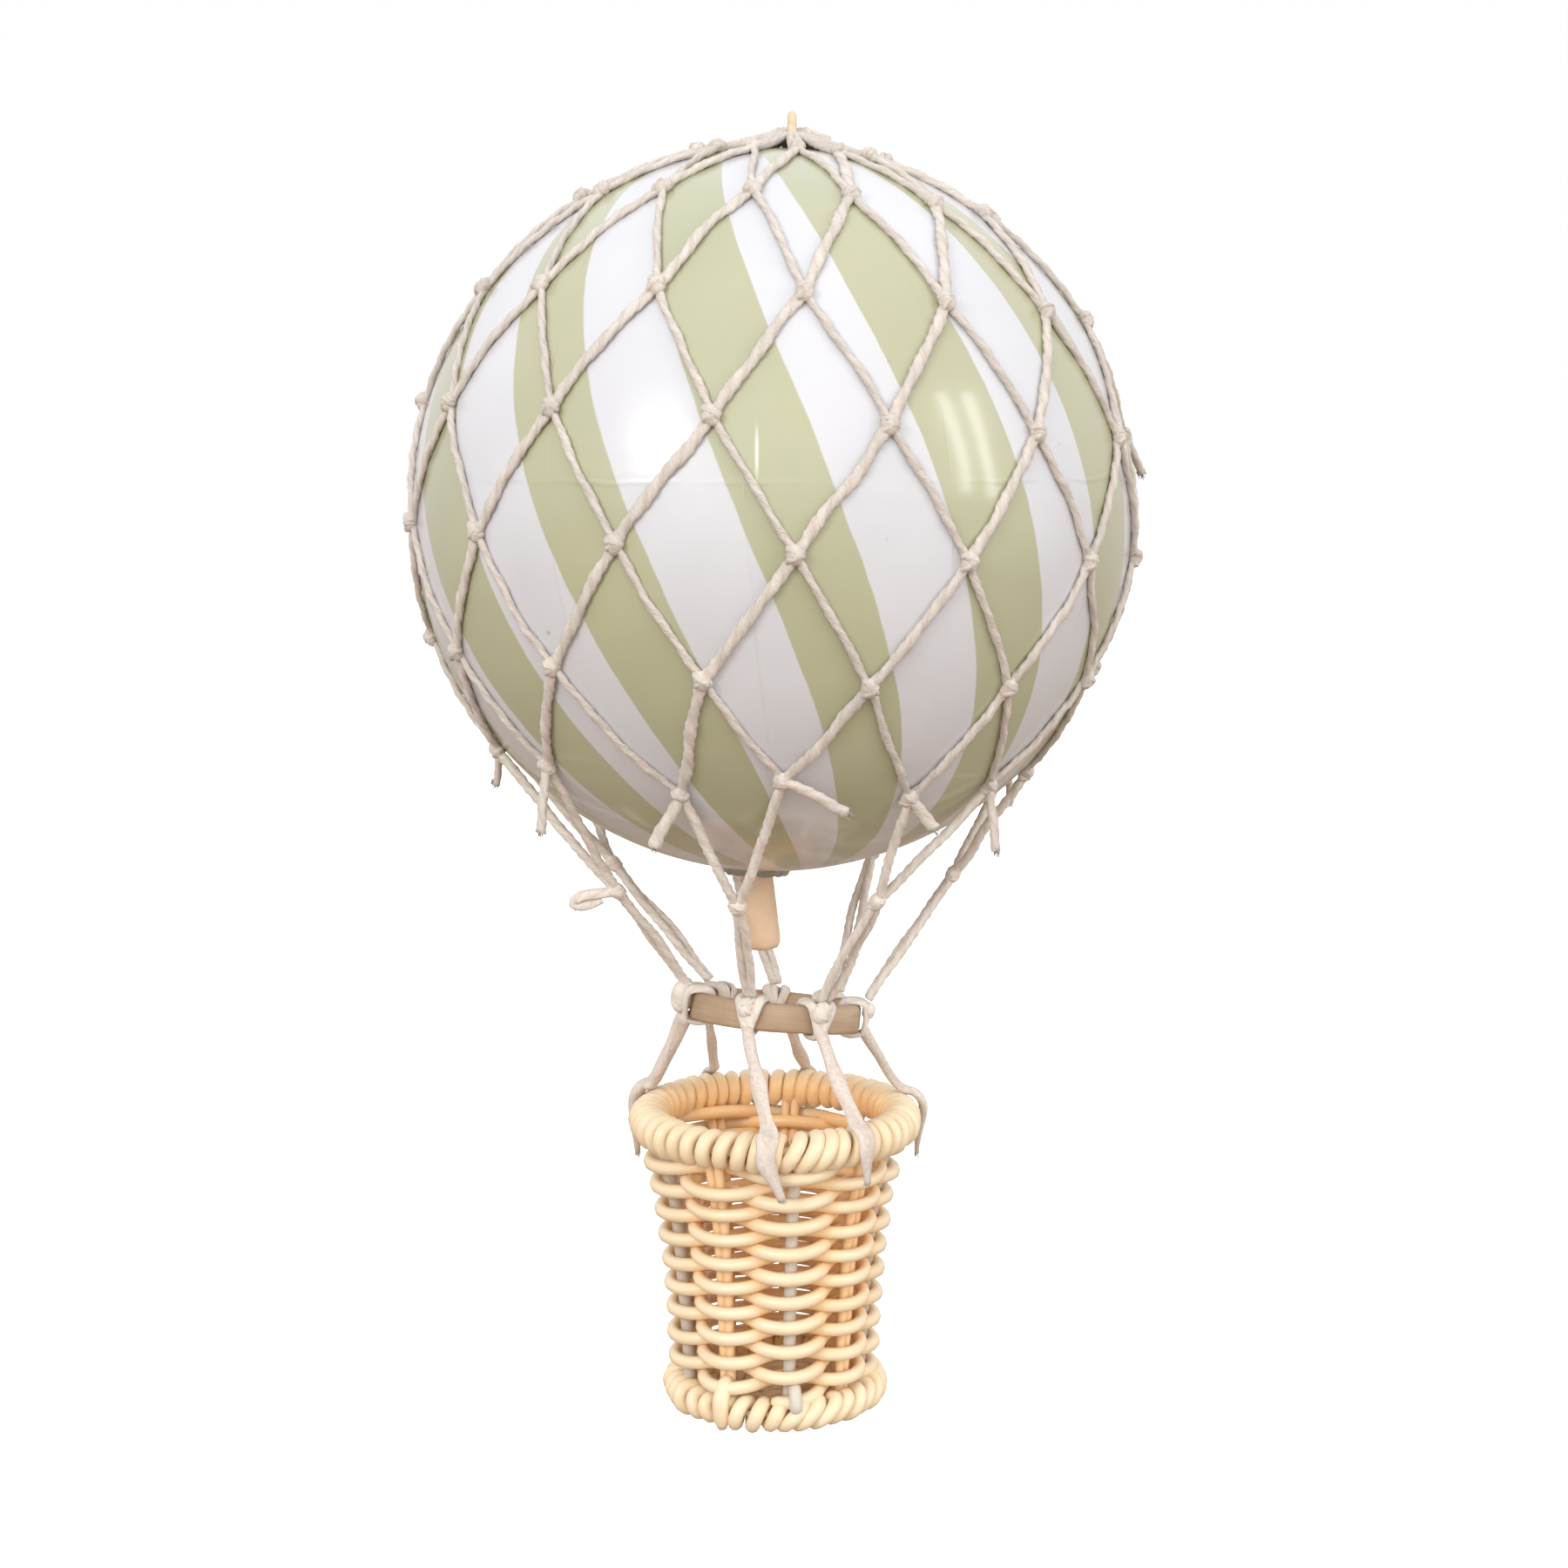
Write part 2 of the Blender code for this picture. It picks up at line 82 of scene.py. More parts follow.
# The ball's frame, as in the part's source.
BALL_RADIUS = 0.050
BALL_LEAN = math.radians(2.96)
CROWN_CORD_HEIGHT = 0.05225
HANG_BORE_RADIUS = 0.0015
BALL_CENTRE = Vector((
    -CROWN_CORD_HEIGHT * math.sin(BALL_LEAN), 0, -HANG_BORE_RADIUS - CROWN_CORD_HEIGHT * math.cos(BALL_LEAN)
))
BALL = Matrix.Translation(BALL_CENTRE) @ Matrix.Rotation(BALL_LEAN, 4, "Y")

# Knots of the net, as in the part's source.
NET_COLUMNS = 14
NET_ROWS = (
    # latitude, first azimuth
    (75.0, 3.6),
    (56.0, -9.2),
    (34.5, 3.6),
    (15.0, -9.2),
    (-3.5, 3.6),
    (-22.5, -9.2),
    (-42.0, 3.6),
)
STAY_KNOT_RADIUS = 0.0255
STAY_KNOT_HEIGHT = BALL_CENTRE.z - 0.0512
STAYS = (
    # azimuth of the knot, azimuth of the hitch, spread of the doubled cord, bulk of the hitch
    (-11.0, -17.0, 0.0007, 1.0),
    (33.0, 30.0, 0.0011, 1.15),
    (91.0, 86.0, 0.0011, 0.9),
    (145.0, 136.0, 0.0008, 0.9),
    (196.0, 180.0, 0.0007, 0.9),
    (248.0, 228.0, 0.0008, 0.9),
    (302.0, 277.0, 0.0010, 1.8),
)
FIRST_PAIR = 13
SHIFTED_KNOTS = {
    # row and column: how far it is tied off its place, in degrees of azimuth and latitude
    (6, 13): (6.4, -2.3),
    (6, 0): (0.9, 2.4),
    (6, 1): (3.0, -1.2),
}

RING_CENTRE = Vector((AXIS.x, AXIS.y, (RING_LOW.z + RING_HIGH.z) / 2))
RING = Matrix.Translation(RING_CENTRE) @ Matrix.Rotation(math.radians(5.0), 4, "Y")
RING = RING @ Matrix.Rotation(math.radians(-8.0), 4, "X")
RING_RADIUS = 0.0123
RING_INNER_RADIUS = 0.0101
RING_DEPTH = 0.0040

RIM_Z = (RIM_LOW.z + RIM_HIGH.z) / 2
RIM_CORE = RIM_HIGH.z - RIM_LOW.z
RIM_RADIUS = (RIM_HIGH.y - RIM_LOW.y - RIM_CORE) / 2
FOOT_Z = (FOOT_LOW.z + FOOT_HIGH.z) / 2
FOOT_CORE = FOOT_HIGH.z - FOOT_LOW.z
FOOT_RADIUS = (FOOT_HIGH.y - FOOT_LOW.y - FOOT_CORE) / 2
BASKET_CORDS = (
    # azimuth at the load ring, azimuth at the rim, tail length, its sideways end, width between, width at the rim,
    # thickness
    (-17.0, -3.0, 0.0055, 0.0022, 0.0020, 0.0033, 0.0010),
    (30.0, 36.0, 0.0044, 0.0006, 0.0023, 0.0032, 0.0010),
    (86.0, 103.0, 0.0060, 0.0, 0.0018, 0.0026, 0.0014),
    (170.0, 166.0, 0.0060, 0.0, 0.0018, 0.0028, 0.0010),
    (228.0, 209.0, 0.0060, 0.0, 0.0016, 0.0026, 0.0010),
    (277.0, 250.0, 0.0068, 0.0, 0.0030, 0.0038, 0.0020),
)


# Sizes and colours that a user would change.


class BallSettings(bpy.types.PropertyGroup):
    stripes: IntProperty(name="Stripes", description="Green stripes round the ball", default=12, min=2, max=40)
    green: FloatVectorProperty(
        name="Green", description="Sage of the printed stripes", subtype="COLOR", size=3, default=(0.43, 0.43, 0.275)
    )
    white: FloatVectorProperty(
        name="White", description="White between the stripes", subtype="COLOR", size=3, default=(0.63, 0.625, 0.645)
    )


class NetSettings(bpy.types.PropertyGroup):
    cord: FloatProperty(
        name="Cord", description="Width of the soft net cord", subtype="DISTANCE", unit="LENGTH", default=0.0016
    )
    colour: FloatVectorProperty(
        name="Colour", description="Off-white of the cotton", subtype="COLOR", size=3, default=(0.75, 0.675, 0.605)
    )


class BasketSettings(bpy.types.PropertyGroup):
    reed: FloatProperty(
        name="Reed", description="Diameter of the rattan reed", subtype="DISTANCE", unit="LENGTH", default=0.0020
    )
    row_pitch: FloatProperty(
        name="Row pitch", description="Height of one woven row", subtype="DISTANCE", unit="LENGTH", default=0.00184
    )
    rim_wraps: IntProperty(name="Rim wraps", description="Turns of reed round the rim", default=50, min=8, max=120)
    foot_wraps: IntProperty(name="Foot wraps", description="Turns of reed round the foot", default=36, min=8, max=120)
    colour: FloatVectorProperty(
        name="Colour", description="Pale peeled rattan", subtype="COLOR", size=3, default=(0.84, 0.70, 0.49)
    )


class StageSettings(bpy.types.PropertyGroup):
    camera_distance: FloatProperty(
        name="Camera distance", description="Level distance from the object's axis to the camera",
        subtype="DISTANCE", unit="LENGTH", default=0.368,
    )
    camera_pitch: FloatProperty(
        name="Camera pitch", description="How far the camera looks down", subtype="ANGLE", unit="ROTATION",
        default=math.radians(7.78),
    )


# Shader maths and finishes.


class Wire:
    """A shader socket that can stand in a Python expression."""

    def __init__(self, finish, socket):
        self.finish = finish
        self.socket = socket

    def maths(self, operation, *others):
        return self.finish.node("Math", {"operation": operation}, dict(enumerate((self, *others))))

    def __add__(self, other):
        return self.maths("ADD", other)

    __radd__ = __add__

    def __sub__(self, other):
        return self.maths("SUBTRACT", other)

    def __rsub__(self, other):
        return self.finish.node("Math", {"operation": "SUBTRACT"}, {0: other, 1: self})

    def __mul__(self, other):
        return self.maths("MULTIPLY", other)

    __rmul__ = __mul__

    def __truediv__(self, other):
        return self.maths("DIVIDE", other)

    def __pow__(self, other):
        return self.maths("POWER", other)


class Finish:
    """One material, with its constants set on the shader and its patterns built from nodes."""

    def __init__(self, name, **constants):
        self.material = bpy.data.materials.new(name)
        self.material.use_nodes = True
        self.tree = self.material.node_tree
        self.shader = self.tree.nodes["Principled BSDF"]
        for socket, value in constants.items():
            self.shader.inputs[socket.replace("_", " ")].default_value = value

    def put(self, socket, value):
        if isinstance(value, Wire):
            self.tree.links.new(value.socket, socket)
        else:
            socket.default_value = value

    def node(self, kind, settings=None, sockets=None, out=0):
        made = self.tree.nodes.new("ShaderNode" + kind)
        for name, value in (settings or {}).items():
            if name == "stops":
                ramp = made.color_ramp
                while len(ramp.elements) < len(value):
                    ramp.elements.new(0.5)
                for stop, (place, colour) in zip(ramp.elements, value):
                    stop.position = place
                    stop.color = colour
            else:
                setattr(made, name, value)
        for name, value in (sockets or {}).items():
            self.put(made.inputs[name], value)
        return Wire(self, made.outputs[out])

    def place(self):
        return self.node("TexCoord", out="Object")

    def along(self):
        """The piece's own UV map: metres along a cord, and turns round it."""
        split = self.node("SeparateXYZ", sockets={0: self.node("UVMap", {"uv_map": "run"})})
        return split, Wire(self, split.socket.node.outputs[1])

    def vector(self, x, y, z):
        return self.node("CombineXYZ", sockets={0: x, 1: y, 2: z})

    def noise(self, where, scale, detail=3.0, roughness=0.5, distortion=0.0):
        return self.node(
            "TexNoise",
            sockets={"Vector": where, "Scale": scale, "Detail": detail, "Roughness": roughness, "Distortion": distortion},
        )

    def ramp(self, value, low, high, start=0.0, end=1.0):
        return self.node("MapRange", {"clamp": True}, {0: value, 1: low, 2: high, 3: start, 4: end})

    def mix(self, factor, first, second, blend="MIX"):
        made = self.node("Mix", {"data_type": "RGBA", "blend_type": blend}, {0: factor}, out=2)
        node = made.socket.node
        self.put(node.inputs[6], first)
        self.put(node.inputs[7], second)
        return made

    def bump(self, height, distance, strength=1.0, under=None):
        sockets = {"Height": height, "Distance": distance, "Strength": strength}
        if under is not None:
            sockets["Normal"] = under
        return self.node("Bump", sockets=sockets)

    def give(self, socket, value):
        self.put(self.shader.inputs[socket], value)

    def dress(self, obj):
        obj.data.materials.clear()
        obj.data.materials.append(self.material)


def rgba(colour, factor=1.0):
    return (*(min(1.0, c * factor) for c in colour), 1.0)


def cotton(name, colour, pitch=0.0034):
    """Twisted cotton: diagonal plies, fine fibres, a little painted shade in the grooves between the plies."""
    made = Finish(name, Roughness=0.92, Sheen_Weight=0.25, Sheen_Roughness=0.5)
    along, round_ = made.along()
    ply = made.node("Math", {"operation": "SINE"}, {0: (round_ * 2.0 - along / pitch) * math.tau})
    fibre = made.noise(made.vector(along * 1500.0, (round_ - along / pitch) * 16.0, 0.0), 1.0, 4.0, 0.6)
    patch = made.noise(made.place(), 160.0, 3.0)
    shade = made.mix(made.ramp(patch, 0.3, 0.7), rgba(colour, 0.88), rgba(colour, 1.10))
    shade = made.mix(made.ramp(fibre, 0.32, 0.58, 0.75, 0.0), shade, rgba((colour[0] * 0.74, colour[1] * 0.70, colour[2] * 0.66)))
    # painted shade: the grooves between the plies are darkened
    shade = made.mix(made.ramp(ply, -1.0, 0.0, 0.35, 0.0), shade, rgba((colour[0] * 0.66, colour[1] * 0.60, colour[2] * 0.54)))
    made.give("Base Color", shade)
    plies = made.bump(ply, 0.00012, 0.4)
    made.give("Normal", made.bump(fibre, 0.00022, 1.0, plies))
    made.give("Roughness", made.ramp(fibre, 0.2, 0.8, 0.98, 0.82))
    return made


def rattan(name, colour, inner=None):
    """Peeled rattan core: long pores along the reed, slow changes of colour, and painted orange bounce light towards
    the basket's inside.

    inner is the distance from the axis at the foot's height where the painted orange bounce light begins, and how it
    grows with height.
    """
    made = Finish(name, Roughness=0.4, Coat_Weight=0.3, Coat_Roughness=0.2)
    along, round_ = made.along()
    grain = made.noise(made.vector(along * 55.0, round_ * 34.0, 0.0), 1.0, 4.0, 0.6)
    slow = made.noise(made.place(), 95.0, 2.0)
    pores = made.noise(made.vector(along * 160.0, round_ * 60.0, 3.0), 1.0, 2.0)
    deep = (colour[0] * 0.95, colour[1] * 0.74, colour[2] * 0.52)
    shade = made.mix(made.ramp(slow, 0.35, 0.7), rgba(colour, 1.06), rgba((colour[0], colour[1] * 0.95, colour[2] * 0.88)))
    shade = made.mix(made.ramp(grain, 0.42, 0.72, 0.0, 0.4), shade, rgba(deep))
    shade = made.mix(made.ramp(pores, 0.62, 0.72, 0.0, 0.25), shade, rgba((0.50, 0.32, 0.15)))
    if inner:
        begin, growth = inner
        spot = made.node("SeparateXYZ", sockets={0: made.place()})
        across, level = Wire(made, spot.socket.node.outputs[1]), Wire(made, spot.socket.node.outputs[2])
        from_axis = ((spot - AXIS.x) * (spot - AXIS.x) + (across - AXIS.y) * (across - AXIS.y)) ** 0.5
        # painted warm bounce light: the reed's faces towards the basket's inside are tinted orange, standing in for
        # light bounced round inside the basket
        inside = made.ramp(from_axis - (level - FOOT_Z) * growth, begin - 0.0020, begin, 0.9, 0.0)
        shade = made.mix(inside, shade, (0.97, 0.62, 0.29, 1))
    made.give("Base Color", shade)
    made.give("Roughness", made.ramp(grain, 0.3, 0.7, 0.34, 0.52))
    made.give("Normal", made.bump(grain, 0.00006, 0.5))
    return made


# Paths and cords.


def at(radius, azimuth, height):
    """The point at this azimuth in degrees, counted from -Y towards +X."""
    angle = math.radians(azimuth)
    return Vector((radius * math.sin(angle), -radius * math.cos(angle), height))


def on_ball(latitude, azimuth, lift):
    """A point over the ball, lift metres above its surface."""
    turn = math.radians(latitude)
    radius = BALL_RADIUS + lift
    return BALL @ at(radius * math.cos(turn), azimuth, radius * math.sin(turn))


def smooth(points, step):
    """A smooth curve through the points, read off about every step metres."""
    p = np.array([tuple(q) for q in points], float)
    ends = np.vstack([2 * p[0] - p[1], p, 2 * p[-1] - p[-2]])
    out = []
    for i in range(1, len(ends) - 2):
        a, b, c, d = ends[i - 1 : i + 3]
        count = max(2, int(math.ceil(np.linalg.norm(c - b) / step)))
        t = np.linspace(0, 1, count, endpoint=False)[:, None]
        out.append(
            0.5 * ((2 * b) + (c - a) * t + (2 * a - 5 * b + 4 * c - d) * t**2 + (3 * b - a - 3 * c + d) * t**3)
        )
    return np.vstack(out + [p[-1:]])


def unit(v):
    return v / np.maximum(np.linalg.norm(v, axis=-1, keepdims=True), 1e-12)


def wobble(path, size, scale, seed):
    """Moves the points a little to and fro, but not the two ends."""
    out = np.array(path)
    rise = np.sin(np.linspace(0, math.pi, len(path))) ** 0.5
    for i, p in enumerate(path):
        shift = noise.noise_vector(Vector(p) * scale + Vector((seed * 7.3, seed * 1.7, -seed * 3.1)))
        out[i] += np.array(shift) * size * rise[i]
    return out


class Cords:
    """Many tubes in one mesh, each with the UV map "run": metres along it and turns round it."""

    def __init__(self):
        self.points = []
        self.faces = []
        self.maps = []
        self.count = 0

    def run(self, path, width, thickness=None, outwards=None, sides=8, twist=None, plies=0.0, closed=False):
        """width and thickness may be one number or one for each point; twist is the length of one full turn."""
        path = np.asarray(path, float)
        n = len(path)
        if closed:
            tangent = unit(np.roll(path, -1, 0) - np.roll(path, 1, 0))
        else:
            tangent = unit(np.gradient(path, axis=0))
        width = np.broadcast_to(np.asarray(width, float), n)
        thickness = width if thickness is None else np.broadcast_to(np.asarray(thickness, float), n)
        if outwards is None:
            normal = np.zeros_like(path)
            first = np.cross(tangent[0], (0.3, 0.2, 0.93))
            normal[0] = first / np.linalg.norm(first)
            for i in range(1, n):
                v = normal[i - 1] - tangent[i] * normal[i - 1].dot(tangent[i])
                normal[i] = v / np.linalg.norm(v)
        else:
            out = np.array([tuple(outwards(Vector(p))) for p in path])
            normal = unit(out - tangent * (out * tangent).sum(1, keepdims=True))
        side = np.cross(tangent, normal)
        lengths = np.concatenate([[0], np.cumsum(np.linalg.norm(np.diff(path, axis=0), axis=1))])
        angle = np.arange(sides) / sides * math.tau
        turn = lengths / twist * math.tau if twist else np.zeros(n)
        theta = angle[None] + 0 * turn[:, None]
        swell = 1 + plies * np.cos(2 * (theta - turn[:, None]))
        x = (width[:, None] / 2) * np.cos(theta) * swell
        y = (thickness[:, None] / 2) * np.sin(theta) * swell
        ring = path[:, None] + side[:, None] * x[..., None] + normal[:, None] * y[..., None]
        base = self.count
        self.points.append(ring.reshape(-1, 3))
        self.count += n * sides
        last = n if closed else n - 1
        for i in range(last):
            j = (i + 1) % n
            u0, u1 = lengths[i], lengths[i + 1] if i + 1 < n else lengths[i] + np.linalg.norm(path[0] - path[-1])
            for k in range(sides):
                m = (k + 1) % sides
                self.faces.append((base + i * sides + k, base + i * sides + m, base + j * sides + m, base + j * sides + k))
                v0, v1 = k / sides, (k + 1) / sides
                self.maps += [(u0, v0), (u0, v1), (u1, v1), (u1, v0)]
        if not closed:
            for row, order in ((0, -1), (n - 1, 1)):
                corners = [base + row * sides + k for k in range(sides)][::order]
                self.faces.append(tuple(corners))
                self.maps += [(lengths[row], 0.5)] * sides

    def tapered(self, path, width, thickness=None, ends=0.35, reach=2, **more):
        """A run whose two ends are rounded off over a few points."""
        n = len(path)
        fall = np.ones(n)
        for i in range(min(reach, n // 2)):
            share = ends + (1 - ends) * math.sin((i + 0.5) / reach * math.pi / 2)
            fall[i] = min(fall[i], share)
            fall[n - 1 - i] = min(fall[n - 1 - i], share)
        self.run(path, np.broadcast_to(width, n) * fall, None if thickness is None else np.broadcast_to(thickness, n) * fall, **more)

    def made(self, name, finish, slot, *nodes):
        mesh = bpy.data.meshes.new(name)
        mesh.from_pydata(np.vstack(self.points).tolist(), [], self.faces)
        layer = mesh.uv_layers.new(name="run")
        layer.data.foreach_set("uv", np.array(self.maps, np.float32).ravel())
        mesh.shade_smooth()
        obj = bpy.data.objects.new(name, mesh)
        bpy.context.scene.collection.objects.link(obj)
        outward(obj)
        finish_piece(obj, finish, slot, *nodes)
        return obj


def outward(obj):
    shape = bmesh.new()
    shape.from_mesh(obj.data)
    bmesh.ops.recalc_face_normals(shape, faces=shape.faces)
    shape.to_mesh(obj.data)
    shape.free()


def finish_piece(obj, finish, slot, *nodes, body=BODY):
    """Dresses the piece, ties it to its body and hides the solids that it stands for."""
    finish.dress(obj)
    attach(obj, body)
    if nodes:
        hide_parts(*nodes)


def deselect():
    for obj in bpy.context.view_layer.objects:
        obj.select_set(False)


def lathe(name, outline, segments, place=Matrix()):
    """Draws a circle and extrudes it through the outline's (radius, height) rows, as by hand."""
    deselect()
    radius, height = outline[0]
    bpy.ops.mesh.primitive_circle_add(vertices=segments, radius=radius, location=(0, 0, height))
    obj = bpy.context.object
    obj.name = name
    bpy.ops.object.transform_apply(location=True)
    bpy.ops.object.mode_set(mode="EDIT")
    bpy.ops.mesh.select_all(action="SELECT")
    for (r0, z0), (r1, z1) in zip(outline, outline[1:]):
        bpy.ops.mesh.extrude_region_move(TRANSFORM_OT_translate={"value": (0, 0, z1 - z0)})
        share = max(r1, 1e-7) / max(r0, 1e-7)
        bpy.ops.transform.resize(value=(share, share, 1), center_override=(0, 0, z1))
    bpy.ops.mesh.select_all(action="SELECT")
    bpy.ops.mesh.remove_doubles(threshold=1e-6)
    bpy.ops.mesh.normals_make_consistent(inside=False)
    bpy.ops.object.mode_set(mode="OBJECT")
    obj.data.transform(place)
    obj.data.shade_smooth()
    return obj


# Operators, one for each piece or group of like pieces.


class BALLOON_OT_ball(bpy.types.Operator):
    """The papier-mache ball: round with slight hand-laid unevenness, a torn mouth below, striped and varnished"""

    bl_idname = "balloon.make_ball"
    bl_label = "Paper ball"

    def execute(self, context):
        deselect()
        bpy.ops.mesh.primitive_uv_sphere_add(segments=192, ring_count=128, radius=BALL_RADIUS)
        ball = context.object
        ball.name = "paper_ball"
        bpy.ops.object.mode_set(mode="EDIT")
        shape = bmesh.from_edit_mesh(ball.data)
        low = -BALL_RADIUS * math.cos(math.asin(0.0049 / BALL_RADIUS))
        for vertex in shape.verts:
            vertex.select = vertex.co.z < low
        shape.select_flush(True)
        bmesh.update_edit_mesh(ball.data)
        bpy.ops.mesh.delete(type="VERT")
        bpy.ops.object.mode_set(mode="OBJECT")
        for vertex in ball.data.vertices:
            spot = vertex.co / BALL_RADIUS
            swell = 0.00010 * noise.noise(spot * 3.1) + 0.00004 * noise.noise(spot * 9.0)
            azimuth = math.degrees(math.atan2(vertex.co.x, -vertex.co.y))
            latitude = math.degrees(math.asin(max(-1, min(1, vertex.co.z / BALL_RADIUS))))
            wave = 5.4 + 0.9 * noise.noise(Vector((azimuth * 0.05, 0, 0)))
            swell += 0.00007 * math.exp(-(((latitude - wave) / 0.55) ** 2))
            near_crown = math.exp(-(((90 - latitude) / 5.0) ** 2))
            vertex.co = vertex.co * (1 + swell / BALL_RADIUS) - Vector((0, 0, 0.0006 * near_crown))
        rim = [v for v in ball.data.vertices if v.co.z < low + 0.0007]
        bottom = min(v.co.z for v in rim)
        # the torn lip: the lowest edge is pulled down into a ragged collar
        deselect()
        context.view_layer.objects.active = ball
        ball.select_set(True)
        bpy.ops.object.mode_set(mode="EDIT")
        bpy.ops.mesh.select_all(action="DESELECT")
        bpy.ops.mesh.select_non_manifold(extend=False)
        for step, (share, drop) in enumerate(((1.02, 0.0004), (0.99, 0.0005), (0.93, 0.0002), (0.86, -0.0006), (0.8, -0.0016), (0.2, -0.0004))):
            bpy.ops.mesh.extrude_region_move(TRANSFORM_OT_translate={"value": (0, 0, -drop)})
            bpy.ops.transform.resize(value=(share, share, 1), center_override=(0, 0, bottom))
        bpy.ops.object.mode_set(mode="OBJECT")
        for vertex in ball.data.vertices:
            if vertex.co.z < bottom - 1e-5:
                shift = noise.noise_vector(vertex.co * 900)
                vertex.co += Vector((shift.x * 0.00035, shift.y * 0.00035, shift.z * 0.00030))
        ball.data.transform(BALL)
        ball.data.shade_smooth()
        finish_piece(ball, varnished_paper(context.scene.ball_settings), "papier_mache", "envelope")
        return {"FINISHED"}


def varnished_paper(settings):
    """Swirled stripes on a pole that leans a little, faint sheet seams, a varnish that shows the brushing, a painted
    glint on a wrinkle and painted shadow under the torn lip.
    """
    made = Finish("varnished paper", Roughness=0.3, Coat_Weight=0.8, Coat_Roughness=0.13, IOR=1.5)
    turn = Matrix.Rotation(math.radians(7.11), 4, "Y") @ Matrix.Rotation(math.radians(5.31), 4, "X")
    turn = turn @ Matrix.Rotation(-BALL_LEAN, 4, "Y")
    centre = turn @ -BALL_CENTRE
    local = made.node(
        "Mapping", {"vector_type": "POINT"},
        {"Vector": made.place(), "Location": tuple(centre), "Rotation": tuple(turn.to_euler())},
    )
    split = made.node("SeparateXYZ", sockets={0: local})
    x = split
    y = Wire(made, split.socket.node.outputs[1])
    z = Wire(made, split.socket.node.outputs[2])
    azimuth = made.node("Math", {"operation": "ARCTAN2"}, {0: x, 1: y * -1.0})
    latitude = made.node("Math", {"operation": "ARCSINE"}, {0: z / 0.0502}) * (180 / math.pi / 60)
    edge = (made.noise(local, 260.0, 2.0) - 0.5) * 0.35 + (made.noise(local, 60.0, 1.0) - 0.5) * 1.1
    swirl = latitude * -19.51 + latitude * latitude * 1.17 + latitude * latitude * latitude * 1.84 + 1.23 + edge
    phase = (azimuth - swirl * (math.pi / 180)) * float(settings.stripes)
    wave = made.node("Math", {"operation": "COSINE"}, {0: phase})
    stripe = made.ramp(wave, 0.0, 0.06)
    mottle = made.noise(local, 70.0, 2.0, 0.4)
    cloud = made.noise(local, 26.0, 2.0)
    green = made.mix(made.ramp(mottle, 0.35, 0.7), rgba(settings.green, 0.97), rgba(settings.green, 1.03))
    warm = (settings.green[0] * 1.04, settings.green[1] * 0.95, settings.green[2] * 0.88)
    green = made.mix(made.ramp(cloud, 0.4, 0.8, 0.0, 0.4), green, rgba(warm))
    white = made.mix(made.ramp(mottle, 0.35, 0.7), rgba(settings.white, 0.97), rgba(settings.white, 1.02))
    shade = made.mix(stripe, white, green)
    # sheet seams: one round the middle and faint ones down the sides
    spot = made.node("SeparateXYZ", sockets={0: made.place()})
    height = Wire(made, spot.socket.node.outputs[2]) - BALL_CENTRE.z
    seam_wave = (made.noise(made.vector(azimuth * 2.0, 0.0, 0.0), 3.0) - 0.5) * 0.0016
    level = height - 0.0054 + seam_wave
    seam = made.ramp(made.node("Math", {"operation": "ABSOLUTE"}, {0: level}), 0.0, 0.0005, 1.0, 0.0)
    # painted glint: a short pale vertical line on the front, where a wrinkle in the varnish catches the lamp
    front = made.ramp(Wire(made, spot.socket.node.outputs[1]), -0.010, -0.008, 1.0, 0.0)
    sideways = made.node("Math", {"operation": "ABSOLUTE"}, {0: spot - (BALL_CENTRE.x - 0.0017)})
    painted_glint = made.ramp(sideways, 0.00008, 0.0003, 1.0, 0.0) * front
    painted_glint = painted_glint * made.ramp(height, 0.0054, 0.0080) * made.ramp(height, 0.0100, 0.0128, 1.0, 0.0)
    gore = made.node("Math", {"operation": "PINGPONG"}, {0: azimuth + 0.07, 1: math.pi / 12})
    down = made.ramp(gore, 0.0, 0.006, 1.0, 0.0)
    lines = made.node("Math", {"operation": "MAXIMUM"}, {0: seam, 1: down * 0.6})
    broken = made.ramp(made.noise(local, 130.0, 3.0), 0.4, 0.65)
    shade = made.mix(lines * broken * 0.22, shade, rgba((0.45, 0.42, 0.36)))
    speck = made.node("TexVoronoi", {"feature": "F1"}, {"Vector": local, "Scale": 75.0})
    shade = made.mix(made.ramp(speck, 0.012, 0.03, 0.55, 0.0), shade, rgba((0.34, 0.22, 0.12)))
    # painted highlight: the glint line is mixed into the colour near white
    shade = made.mix(painted_glint * 0.6, shade, (0.95, 0.95, 0.92, 1))
    # painted shadow: the lowest band of the ball, on and under the torn lip, is darkened to a dark brown-grey
    torn = made.ramp(height + (made.noise(local, 420.0, 2.0) - 0.5) * 0.0012, -0.0501, -0.0495, 0.75, 0.0)
    shade = made.mix(torn, shade, (0.24, 0.21, 0.185, 1))
    made.give("Base Color", shade)
    crumple = made.noise(local, 150.0, 3.0, 0.5)
    bump = made.bump(lines * broken, 0.00010, 0.8)
    bump = made.bump(made.noise(local, 42.0, 2.0), 0.0006, 0.25, bump)
    made.give("Normal", made.bump(crumple, 0.00006, 0.35, bump))
    made.give("Roughness", made.ramp(mottle, 0.2, 0.8, 0.27, 0.31))
    return made


